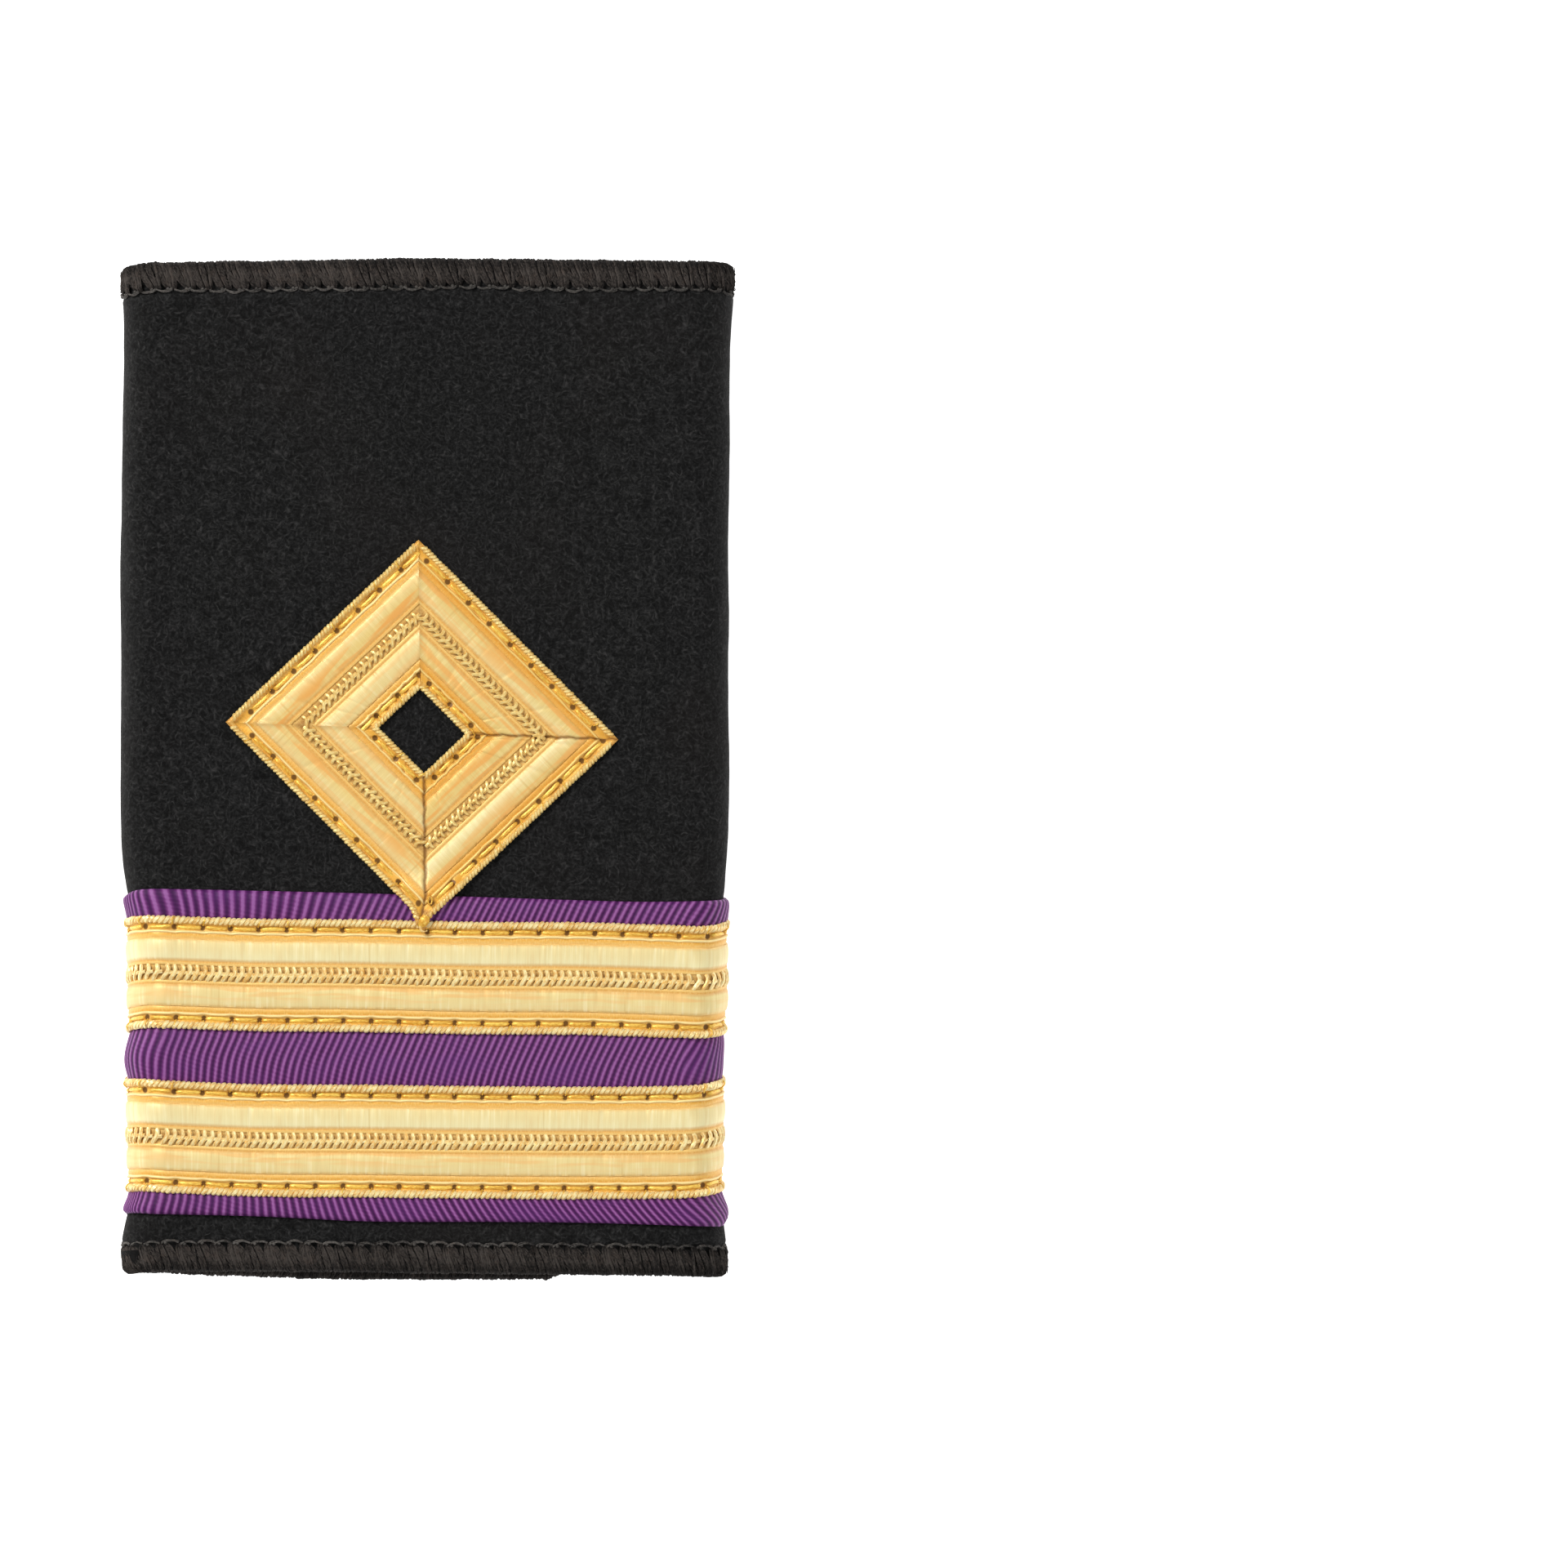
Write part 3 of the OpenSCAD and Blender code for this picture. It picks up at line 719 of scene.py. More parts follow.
def placed(graph, given, points, rotation):
    """Units instanced on points with a little random turn and size, each with its own number,
    and made real with the tree's material."""
    seed, spread = given["Seed"], given["Size Spread"]
    corners = {0: (-1, -1, -1), 1: (1, 1, 1), "Seed": seed + 1}
    swing = {0: drawn_at_random(graph, "FLOAT_VECTOR", corners), "Scale": given["Turn Spread"]}
    swung = graph.add("ShaderNodeVectorMath", {"operation": "SCALE"}, swing)
    turn = graph.add("FunctionNodeEulerToRotation", {}, {0: swung})
    instances = graph.add(
        "GeometryNodeInstanceOnPoints",
        {},
        {
            "Points": points,
            "Instance": picked_units(graph, given),
            "Pick Instance": True,
            "Instance Index": drawn_at_random(graph, "INT", {4: 0, 5: 2, "Seed": seed + 3}, 2),
            "Rotation": graph.add(
                "FunctionNodeRotateRotation", {"rotation_space": "LOCAL"}, {0: rotation, 1: turn}
            ),
            "Scale": drawn_at_random(graph, "FLOAT", {2: 1 - spread, 3: 1 + spread, "Seed": seed + 2}, 1),
        },
    )
    named = graph.add(
        "GeometryNodeStoreNamedAttribute",
        {"data_type": "FLOAT", "domain": "INSTANCE"},
        {
            "Geometry": instances,
            "Name": "own",
            3: drawn_at_random(graph, "FLOAT", {"Seed": seed + 4}, 1),
        },
    )
    real = graph.add("GeometryNodeRealizeInstances", {}, {0: named})
    real = graph.add("GeometryNodeSetMaterial", {}, {"Geometry": real, "Material": given["Material"]})
    graph.add("NodeGroupOutput", {}, {0: real})


def row_tree():
    """Repeats units along lines that know their own along and off_face ways: at a pitch, or
    at the lines' own points where the pitch is 0."""
    graph, given = open_tree("row_of_units", ROW_INPUTS)
    line = graph.add("GeometryNodeMeshToCurve", {}, {0: given["Geometry"]})
    steps = {"Curve": line, "Length": given["Pitch"]}
    even = graph.add("GeometryNodeResampleCurve", {"mode": "LENGTH"}, steps)
    pitched = given["Pitch"].maths("GREATER_THAN", 0.0)
    either = {"Switch": pitched, "False": line, "True": even}
    points = graph.add("GeometryNodeSwitch", {"input_type": "GEOMETRY"}, either)
    off_face, along = [
        graph.add("GeometryNodeInputNamedAttribute", {"data_type": "FLOAT_VECTOR"}, {"Name": name})
        for name in ("off_face", "along")
    ]
    axes = {"primary_axis": "Z", "secondary_axis": "X"}
    placed(graph, given, points, graph.add("FunctionNodeAxesToRotation", axes, {0: off_face, 1: along}))
    return graph.tree


def grown(name, base, tree, **inputs):
    """What a tree makes of a base object, as a plain mesh. The base is used up."""
    modifier = base.modifiers.new("grown", "NODES")
    modifier.node_group = tree
    given = {label.replace("_", " "): value for label, value in inputs.items()}
    for item in tree.interface.items_tree:
        if item.in_out == "INPUT" and item.name in given:
            modifier[item.identifier] = given[item.name]
    base.update_tag()
    graph = bpy.context.evaluated_depsgraph_get()
    mesh = bpy.data.meshes.new_from_object(
        base.evaluated_get(graph), preserve_all_data_layers=True, depsgraph=graph
    )
    mesh.name = name
    mesh.shade_smooth()
    bpy.data.objects.remove(base)
    return shown(name, mesh)


def path_mesh(name, lines):
    """Open lines as one mesh. Each line is (points, along, off_face)."""
    points, along, off_face = [np.concatenate(part) for part in zip(*lines)]
    edges, count = [], 0
    for line in lines:
        edges += [(count + k, count + k + 1) for k in range(len(line[0]) - 1)]
        count += len(line[0])
    mesh = bpy.data.meshes.new(name)
    mesh.from_pydata((points * MM).tolist(), edges, [])
    store(mesh, along=along, off_face=off_face)
    return shown(name, mesh)


ROW_TREE = row_tree()


def row_of(name, lines, units, pitch, material, size_spread, turn_spread, seed):
    """Units repeated along lines: at a pitch, or at the lines' own points where it is 0."""
    return grown(
        name,
        path_mesh(name + "_line", lines),
        ROW_TREE,
        Unit_1=units[0],
        Unit_2=units[1 % len(units)],
        Unit_3=units[2 % len(units)],
        Pitch=pitch * MM,
        Size_Spread=size_spread,
        Turn_Spread=turn_spread,
        Seed=seed,
        Material=material,
    )


def drop(*units):
    """Removes units once their rows are made."""
    for unit in units:
        bpy.data.objects.remove(unit)


# Finishes


def lying_fibres(f, place, turn, seed):
    """Short curved fibres that lie about one way on the cloth, from 0 to 1."""
    x, y, z = f.parts(place)
    sway = f.noise(f.joined(x + seed, y, z), 700.0, 1.0) - 0.5
    along = x * math.cos(turn) + y * math.sin(turn)
    across = y * math.cos(turn) - x * math.sin(turn) + sway * (1.5 * MM)
    return f.grain(along * 1250.0, across * 3900.0, z * 1250.0 + seed)


def felt_finish():
    """Black milled wool: a matt nap of short curved fibres, greyer where they stand up."""
    f = Finish("black_felt")
    place = f.add("ShaderNodeTexCoord", output="Object")
    layers = [lying_fibres(f, place, turn, seed) for turn, seed in ((0.3, 3.0), (1.4, 5.0), (2.5, 8.0))]
    most = layers[0].maths("MAXIMUM", layers[1]).maths("MAXIMUM", layers[2])
    nap = f.noise(place, 3600.0, 2.0, 0.6)
    worn = f.noise(place, 70.0, 2.0)
    stand = (most - 0.1) * 0.62 + nap * 0.38
    greys = ((0.36, (12, 12, 12)), (0.46, (21, 21, 21)), (0.55, (33, 33, 33)), (0.68, (53, 52, 52)))
    colour = f.shades(stand, greys)
    tinted = f.painted(colour, (worn.between(0.45, 0.8) * 0.2, (33, 29, 27)))
    normal = f.bump(stand, 0.2, 0.7)
    return f.finish(tinted, 0.95, normal, 0.08, **nap_sheen(0.06, 0.5, (0.5, 0.48, 0.47)))


def nap_sheen(weight, roughness, tint):
    """What the shader takes for the sheen of a nap."""
    return {"Sheen_Weight": weight, "Sheen_Roughness": roughness, "Sheen_Tint": (*tint, 1)}


def wool_thread_finish(name, dark, light, sheen=0.08, swell=0.0):
    """Bulked thread: fine filaments along it, each strand in a tone of its own, and painted shade
    that darkens it towards the right. A swelling thread gets a painted highlight halfway between
    its chain and the edge that it binds."""
    f = Finish(name)
    place = f.add("ShaderNodeTexCoord", output="Object")
    run, around, strand = f.parts(f.attribute("lay"))
    own = f.parts(f.attribute("own"))[0]
    streaks = f.grain(run * 1.1, around * 22.0, own * 50.0 + strand * 30.0, 2.0, 0.6)
    fuzz = f.noise(place, 4600.0, 2.0, 0.6)
    patches = f.noise(place, 900.0, 2.0, 0.6)
    # Painted shade: the thread darkens towards the right, away from the light on the left
    rightward_shade = f.parts(place)[0] * 1.6
    # Painted highlight halfway along each strand, on the swelling of the wrap
    middle = 1 - (abs(run - 1.35) / 1.35).between(0.25, 1.0)
    tone = streaks * 0.5 + fuzz * 0.5 + (own - 0.5) * 0.1 + (strand - 0.5) * 0.22 - rightward_shade
    lit = tone + (middle - 0.5) * swell
    plain = f.blend(lit.between(0.32, 0.76), dark, light)
    brown = tuple(share * value for share, value in zip((1.12, 0.94, 0.84), light))
    browned = f.blend(lit.between(0.3, 0.8), dark, brown)
    colour = f.blend(patches.between(0.52, 0.66) * 0.35, plain, browned)
    normal = f.bump(streaks * 0.4 + fuzz * 0.6, 0.12, 0.8)
    return f.finish(colour, 0.85, normal, 0.1, **nap_sheen(sheen, 0.5, (0.6, 0.55, 0.52)))


def ribbon_finish():
    """Purple ribbed ribbon: crests lit with painted highlight, grooves darkened with painted
    shade, and fine threads across each rib.
    """
    f = Finish("purple_ribbon")
    along, up, _ = f.parts(f.attribute("lay"))
    rib = along / RIB_PITCH
    # Share of the painted highlight on a rib's crest, against the painted shade in its grooves
    crest = (rib.wave() + 1) * 0.5
    dots = (((up + along * 0.3) / WEFT_PITCH).wave() + 1) * 0.5
    streaks = f.grain(along * 4.0, up * 1.2, 0.0, 2.0, 0.6)
    patches = f.grain(along * 0.16, up * 0.3, 7.0, 2.0)
    woven = f.grain(along * 0.5, up * 0.5, 11.0)
    share = 0.04 + woven.between(0.4, 0.65) * 0.08
    tone = crest * (0.86 - share) + dots * share + streaks * 0.14
    # Painted shade in the grooves rising to painted highlight on the crests
    rib_shade_and_highlight = ((0.12, (60, 14, 68)), (0.38, (84, 30, 90)), (0.62, (110, 50, 112)), (0.86, (144, 88, 149)))
    tinted = f.painted(f.shades(tone, rib_shade_and_highlight), (patches.between(0.4, 0.75) * 0.3, (92, 42, 112)))
    normal = f.bump(dots * 0.3 + streaks * 0.7, 0.05, 0.6)
    return f.finish(tinted, 0.55, normal, 0.2, **nap_sheen(0.05, 0.4, (0.8, 0.6, 0.85)))


# What deepens the gold where the lace turns from the light
DEEP_GOLD = (0.91, 0.78, 0.52)


def lace_finish():
    """Woven gold lace: pale satin stripes between deeper gold grooves, with needle holes. Painted
    shade darkens it where it turns from the light, in its needle holes and in its slits and creases.
    """
    f = Finish("gold_lace")
    along, across, stitch = f.parts(f.attribute("lay"))
    seam, end, slit = f.parts(f.attribute("turn"))
    deep, whole, _ = f.parts(f.attribute("tint"))
    inside = 1 - abs(across) / (LACE_W / 2)
    wobble = f.grain(along * 0.7, across * 0.4, 1.0) - 0.5
    stops = []
    for number, row in enumerate(STRIPES):
        start, end_share = stripe_end(number - 1), stripe_end(number)
        for k, colour in enumerate(row.colours):
            stops.append((mix(start, end_share, (k + 0.5) / len(row.colours)), colour))
    base = f.shades(inside + wobble * 0.008, stops)
    satin_start, satin_end = stripe_end(GROOVE), stripe_end(SATIN)
    left = 1 - inside.between(satin_end - 0.04, satin_end)
    satin = inside.between(satin_start, satin_start + 0.04) * left
    wefts = f.grain(along * 3.4, across * 0.16, 0.0, 2.0)
    threads = f.grain(along * 8.5, across * 0.1, 5.0)
    bands = f.grain(along * 0.8, across * 0.3, 4.0, 2.0, 0.6)
    lines = f.grain(along * 1.9, across * 0.04, 9.0)
    weave = f.grain(along * 7.0, across * 3.0, 2.0, 2.0)
    mottle = f.grain(along * 0.16, across * 1.5, 6.0)
    tone = wefts * 0.55 + bands * 0.45
    from_line = abs(across) - HOLE_LINE
    sewn = 1 - (abs(from_line) / 0.42).between(0.5, 1.0)
    woven = f.painted(
        base,
        (satin * tone.between(0.48, 0.68) * 0.45, (226, 198, 140)),
        (satin * (1 - tone.between(0.32, 0.5)) * 0.5, (250, 240, 196)),
        (satin * threads.between(0.5, 0.66) * 0.18, (204, 184, 126)),
        (satin * lines.between(0.66, 0.72) * 0.25, (190, 152, 84)),
        ((1 - satin) * weave.between(0.42, 0.68) * 0.35, (246, 214, 140)),
        (sewn * 0.6, (224, 166, 62)),
        # Peach mottle on the satin, scaled by the share of painted shade
        (satin * deep * mottle.between(0.44, 0.6) * 0.8, (240, 184, 112)),
    )
    # Painted shade where the lace turns from the light, fullest between the sewing channel and the satin's
    # end
    row_end = stripe_end(CHANNEL)
    past_row = inside.between(row_end - 0.02, row_end + 0.02)
    before_chain = 1 - inside.between(satin_end - 0.02, satin_end + 0.02)
    share = deep * (0.3 + 0.7 * past_row * before_chain)
    toned = f.blend(share, woven, DEEP_GOLD, "MULTIPLY")
    # Needle holes, painted dark as the shade inside them
    phase = (stitch - stitch.maths("ROUND")) * STITCH_PITCH
    from_hole = (phase * phase) / 0.1 + (from_line * from_line) / 0.095
    hole = (1 - from_hole.between(0.4, 1.35)) * (1 - whole)
    colour = f.painted(
        toned,
        (hole * 0.94, (94, 58, 8)),
        # Painted shade in the slit of a band's end
        (slit, (226, 130, 26)),
        (end, (246, 232, 180)),
        # Painted shade in the creases of the bands' ends and the diamond's mitres, and in the slit beside its
        # tip
        (seam, (120, 76, 28)),
    )
    normal = f.bump(wefts * satin + weave * (1 - satin) * 0.6, 0.05, 0.7)
    return f.finish(colour, 0.45, normal, 0.3, Metallic=0.15)


def gold_thread_finish(name, dark, light):
    """Gold thread: twisted filaments that catch the light."""
    f = Finish(name)
    run, around, _ = f.parts(f.attribute("lay"))
    own = f.parts(f.attribute("own"))[0]
    twist = f.grain(run * 3.0, around * 9.0, own * 40.0, 2.0, 0.55)
    tone = twist * 0.85 + own * 0.15
    colour = f.blend(tone.between(0.28, 0.68), dark, light)
    normal = f.bump(twist, 0.05, 0.6)
    return f.finish(colour, 0.38, normal, 0.5, Metallic=0.3)


# Rib and stitch sizes
RIB_PITCH = 0.77
RIB_H = 0.13
WEFT_PITCH = 0.42
STITCH_PITCH = 2.92
CHAIN_PITCH = 0.78
CORD_PITCH = 0.5
WRAP_PITCH = 1.75
TUFT_PITCH = 0.6
EDGE_LINK_PITCH = 1.66
EDGE_RIDGE_PITCH = 1.78
SEAM_PITCH = 2.4

# How far rows stand off the lace's underside, and the cord's middle from the lace's edge
CORD_OUT = 0.28
STITCH_OUT = 0.26
CHAIN_OUT = 0.3
CORD_IN = 0.3
# The edge's chain lies this far inside the panel's edge
EDGE_CHAIN_IN = 3.6
# Place of the back seam across the sleeve, at the lower and the upper hem
SEAM_X = (-9.9, -12.8)

# Stripes of the lace from its edge to its middle: width, height at its sides, how far it
# rises between them, rows that its mesh takes, and colours across it
Stripe = namedtuple("Stripe", "width height rise rows colours")
STRIPES = (
    Stripe(0.60, 0.14, 0.30, 4, ((210, 150, 62), (228, 178, 92))),
    Stripe(0.70, 0.24, -0.04, 6, ((226, 170, 66), (230, 176, 70), (236, 192, 96))),
    Stripe(0.26, 0.36, 0.12, 4, ((248, 222, 152), (250, 230, 166))),
    Stripe(0.58, 0.30, 0.08, 5, ((220, 160, 62), (232, 178, 84), (234, 186, 104))),
    Stripe(2.20, 0.40, 0.20, 9, ((232, 212, 152), (234, 217, 160), (238, 226, 174))),
    Stripe(0.40, 0.40, 0.08, 4, ((220, 162, 78), (234, 190, 110), (236, 196, 116))),
    Stripe(0.76, 0.26, 0.00, 3, ((224, 184, 108), (194, 150, 82), (180, 136, 72))),
)
CORD, CHANNEL, RIDGE, GROOVE, SATIN, PLAIN = range(len(STRIPES) - 1)
HOLE_LINE = LACE_W / 2 - STRIPES[CORD].width - 0.5 * STRIPES[CHANNEL].width - 0.06


def stripe_end(number):
    """Where a stripe ends, as a share of the way from the lace's edge to its middle."""
    return sum(stripe.width for stripe in STRIPES[: number + 1]) / (LACE_W / 2)


def half_profile():
    """Rows across half the lace, from its edge: [distance, height, stripe number]."""
    rows, start = [], 0.0
    for number, stripe in enumerate(STRIPES):
        for share in np.linspace(0.04, 0.96, stripe.rows):
            swell = 1 - (2 * share - 1) ** 2
            height = stripe.height + stripe.rise * math.sqrt(swell)
            rows.append((start + share * stripe.width, height, number))
        start += stripe.width
    return np.array(rows)


def lace_profile():
    """Rows across the whole lace: distance from its middle, height and stripe number."""
    half = half_profile()
    lower = np.column_stack([half[:, 0] - LACE_W / 2, half[:, 1:]])
    upper = np.column_stack([LACE_W / 2 - half[::-1, 0], half[::-1, 1:]])
    return np.concatenate([lower, upper])


PROFILE = lace_profile()


def creases(along, seed):
    """Shallow creases across the satin, at uneven distances."""
    rng = np.random.default_rng(seed)
    spots = np.cumsum(rng.uniform(1.1, 3.6, 90)) - 90
    depths = rng.uniform(0.01, 0.06, 90)
    widths = rng.uniform(0.12, 0.3, 90)
    away = (along[..., None] - spots) / widths
    return (depths * np.exp(-(away**2))).sum(-1)


def lace_relief(along, stitch, seed):
    """Across, and height over the lace's underside, of its rows at points along it."""
    along, stitch = along[:, None], stitch[:, None]
    across = np.broadcast_to(PROFILE[:, 0], (len(along), len(PROFILE))).copy()
    height = np.broadcast_to(PROFILE[:, 1], across.shape).copy()
    stripe = PROFILE[:, 2]
    pull = ((1 + np.cos(2 * math.pi * stitch)) / 2) ** 3
    drawn = np.select([np.isin(stripe, (RIDGE, GROOVE)), stripe == CHANNEL], [0.11, 0.04], 0)
    sunk = np.select([stripe == CHANNEL, stripe == RIDGE], [0.2, 0.06], 0)
    across -= np.sign(across) * drawn * pull
    height -= sunk * pull
    height -= np.isin(stripe, (SATIN, PLAIN)) * creases(along[:, 0], seed)[:, None]
    return across, height


def unit_vectors(vectors):
    return vectors / np.linalg.norm(vectors, axis=-1, keepdims=True)


def line_over(ways, heights, out=0.0):
    """A line over the cloth for a row of units, whose own +Y looks to the line's left."""
    point, normal = frames(ways, heights)
    point = point + normal * np.broadcast_to(out, normal.shape[:1])[:, None]
    return point, unit_vectors(np.gradient(point, axis=0)), normal


def waves(way, y, seed, size):
    """Soft unevenness of cloth, about 1 high, over lengths of about size."""
    rng = np.random.default_rng(seed)
    total = 0
    for _ in range(6):
        turn = rng.uniform(0, 2 * math.pi)
        length = size * rng.uniform(0.7, 1.6)
        ahead = way * math.cos(turn) + y * math.sin(turn)
        total = total + np.sin(2 * math.pi * ahead / length + rng.uniform(0, 6.3))
    return total / 2.5


# Where the trims start and stop on the way round the sleeve
RIBBON_START = way_of(RIBBON_END - HALF_W)
LACE_START = way_of(LACE_END - HALF_W)
TRIM_STOP = way_of(PANEL_EDGE + HEM_OVER + 0.35, panel=False)

# Pieces

BLACK_FELT = felt_finish()
# The overlock's last number sets its painted highlight on the swelling wraps
OVERLOCK = wool_thread_finish("overlock_thread", shade(22, 20, 19), shade(76, 70, 66), 0.05, 0.2)
# Dark thread of the overlock's core: its dark stands for the black felt and painted shade between the
# strands. The back seam's stitches use it too
OVERLOCK_SKIN = wool_thread_finish("overlock_shadow", shade(10, 9, 9), shade(42, 39, 37), 0.0)
CHAIN_THREAD = wool_thread_finish("overlock_chain", shade(32, 31, 30), shade(106, 102, 98))
BEAD_THREAD = wool_thread_finish("edge_bead", shade(36, 34, 32), shade(94, 90, 85))
EDGE_CHAIN = wool_thread_finish("edge_chain_thread", shade(26, 26, 26), shade(78, 77, 76))
PURPLE = ribbon_finish()
LACE = lace_finish()
GOLD_THREAD = gold_thread_finish("gold_thread", shade(214, 152, 44), shade(250, 214, 100))
CREAM_THREAD = gold_thread_finish("cream_thread", shade(230, 178, 90), shade(252, 236, 176))
# Thread of the diamond's rows, a little darker than the bands' cream thread
DIAMOND_THREAD = gold_thread_finish("faded_thread", shade(220, 172, 84), shade(244, 220, 148))
PALE_THREAD = gold_thread_finish("pale_thread", shade(240, 212, 144), shade(252, 240, 192))


def felt_sleeve():
    """The one strip of felt, a little uneven, and thinner where its edges are bound."""
    first, last = ROUND[0] + HEM_OVER, ROUND[5]
    ways = spaced(
        first,
        (first + 1.2, 0.2),
        (first + EDGE_BAND + 1, 0.35),
        (ROUND[1], 0.75),
        (ROUND[2], 0.55),
        (ROUND[3], 0.75),
        (ROUND[4], 0.55),
        (last, 0.8),
    )[:, None]
    low, high = hems(ways)
    low, high = low + HEM_OVER, high - HEM_OVER
    near = spaced(0.0, (0.6, 0.2), (4.0, 0.4), (10.0, 0.7)) / SLEEVE_L
    between = spaced(near[-1], (1 - near[-1], 0.85 / SLEEVE_L))[1:-1]
    shares = np.concatenate([near, between, 1 - near[::-1]])
    y = low + (high - low) * shares
    way = np.broadcast_to(ways, y.shape)
    hem = reaches(way, y)[2]
    edge = squeeze(way - ROUND[0], EDGE_BAND) * (way < ROUND[1])
    squeezed = PINCH * np.maximum(hem, edge)
    uneven = 0.035 * waves(way, y, 3, 9.0) + 0.02 * waves(way, y, 4, 3.0)
    outer = raised(way, y, -squeezed + uneven * (1 - hem))
    inner = raised(way, y, squeezed - FELT_T)
    rings = np.concatenate([outer, inner[:, ::-1]], 1)
    return make_mesh("felt", *loft(rings), BLACK_FELT)


def thread_skin(band, sink):
    """Section of the overlock under its strands: past the felt's edge, above its outer face."""
    tip = THREAD_GAP + THREAD_T - sink
    sunk = THREAD_GAP - PINCH
    top = THREAD_PROUD - sink
    rise = np.linspace(0, math.pi, 9)
    bend = HEM_OVER - 0.9
    half = (FELT_T + 2 * top) / 2
    cap = np.column_stack([bend + (tip - bend) * np.sin(rise), top - half * (1 - np.cos(rise))])
    inner = [(-band, -FELT_T - sunk), (THREAD_GAP, -FELT_T - sunk), (THREAD_GAP, sunk), (-band, sunk)]
    return np.array([(-band, top), *cap, (-band, -FELT_T - top), *inner])


# The core under the wraps, dark as the black felt and the painted shade that show between the strands, ends
# this far short of their chain
SHORT_OF_CHAIN = 0.5


def hem_skin(name, side):
    """The core of a hem's overlock under its strands, painted dark as the black felt and the shade that show
    between them.
    """
    ways = spaced(ROUND[0] + HEM_OVER, (ROUND[5], 0.8))
    low, high = hems(ways)
    edge = (high - HEM_OVER if side > 0 else low + HEM_OVER)[:, None]
    past, out = thread_skin(HEM_BAND - HEM_OVER - SHORT_OF_CHAIN, 0.12).T
    rings = raised(ways[:, None], edge + side * past, np.broadcast_to(out, (len(ways), len(out))))
    if side < 0:
        rings = rings[:, ::-1]
    run = np.broadcast_to(ways[:, None], rings.shape[:2])
    lay = np.stack([run, np.broadcast_to(past / 20, run.shape), run * 0], -1)
    return make_mesh(name, *loft(rings), OVERLOCK_SKIN, lay=lay)


def swayed(stations, rows, axis, sway):
    """Stations of a thread, some of them moved a little along one axis."""
    moved = np.array(stations, float)
    moved[rows, axis] += sway
    return moved


# A strand of a wrap, from its chain over the edge and back down inside.
# Columns: along the hem, share of the fan, over the edge, off the face
WRAP_STRAND = (
    (0.80, 0.44, -2.48, -0.08),
    (0.60, 0.72, -2.0, 0.04),
    (0.28, 0.96, -1.2, 0.10),
    (0.0, 1.05, -0.4, 0.08),
    (-0.14, 1.05, 0.06, -0.10),
    (-0.20, 1.0, 0.24, -0.42),
    (-0.22, 1.0, 0.28, -0.80),
    (-0.20, 1.0, 0.24, -1.18),
    (-0.14, 1.0, 0.06, -1.50),
    (0.0, 0.9, -0.4, -1.68),
    (0.4, 0.4, -2.40, -1.60),
)
STRAND_POINTS = 11
# Strands of a wrap, by their places in its fan, and the stray hairs on it
STRAND_OFFSETS = np.linspace(-0.88, 0.88, 14)
HAIRS = 14
HEM_CHAIN = np.array(
    ((-0.84, -2.42, 0.08), (-0.45, -2.58, 0.13), (0.0, -2.62, 0.15), (0.45, -2.56, 0.13), (0.84, -2.38, 0.08))
)


def strand_path(offset, lean, rng):
    """Middle line of one strand of a wrap."""
    along, fan, over, off = swayed(WRAP_STRAND, 2, 0, lean).T
    loose = rng.normal(0, 0.06, (len(along), 3)) * (1.2, 0.3, 0.7)
    return curved(np.column_stack([along + fan * offset, over, off]) + loose, STRAND_POINTS)


def hem_hair(rng):
    """A short hair that stands up from a wrap."""
    foot = np.array((rng.uniform(-0.8, 0.9), rng.uniform(-2.2, -0.5), 0.16))
    way = np.array((rng.normal(-0.2, 0.25), rng.uniform(0.2, 0.6), rng.uniform(-0.02, 0.05)))
    hair = [foot, foot + way * 0.5 + (0, 0, 0.07), foot + way]
    return tube(curved(hair, 4), 0.045, 3, tone=rng.uniform(0.3, 1))


def hem_units():
    """Wraps, each a fan of fuzzy strands, and links of the chain that holds them."""
    rng = np.random.default_rng(71)
    thick = np.interp(np.arange(STRAND_POINTS), (0, 2, 5, 8, 10), (0.09, 0.12, 0.15, 0.15, 0.1))
    wraps, chains = [], []
    for k, lean in enumerate((0.0, 0.08, -0.08)):
        strands = []
        for offset in STRAND_OFFSETS:
            path = strand_path(offset + rng.normal(0, 0.08), lean, rng)
            size = thick * rng.uniform(0.75, 1.25)
            strands.append(tube(path, size, 4, 0.9, across=(1, 0, 0), tone=rng.uniform(0, 1)))
        strands += [hem_hair(rng) for _ in range(HAIRS)]
        wraps.append(make_unit(f"hem_wrap_{k}", *strands))
        sway = rng.normal(0, 0.04, (5, 3)) * (1, 1, 0.4)
        upper = tube(curved(HEM_CHAIN + sway, 9), 0.09, sides=5)
        lower = tube(curved(HEM_CHAIN + sway[::-1] + (0, -0.1, -0.06), 9), 0.07, sides=5)
        chains.append(make_unit(f"hem_chain_{k}", upper, lower, knot(0.42, -2.40, 0.15, 0.16, 0.15)))
    return wraps, chains


def knot(x, y, z, wide, high):
    """A small rounded lump of thread."""
    line = np.column_stack([x + wide * np.array((-1.0, -0.5, 0.0, 0.5, 1.0)), np.full(5, y), np.full(5, z)])
    return tube(line, np.array((0.3, 0.85, 1.0, 0.85, 0.3)) * high, sides=6)


def hem_line(side):
    ways = spaced(ROUND[0] + 1.1, (ROUND[5] - 0.6, 0.4))
    if side < 0:
        ways = ways[::-1]
    low, high = hems(ways)
    return line_over(ways, high - HEM_OVER if side > 0 else low + HEM_OVER)


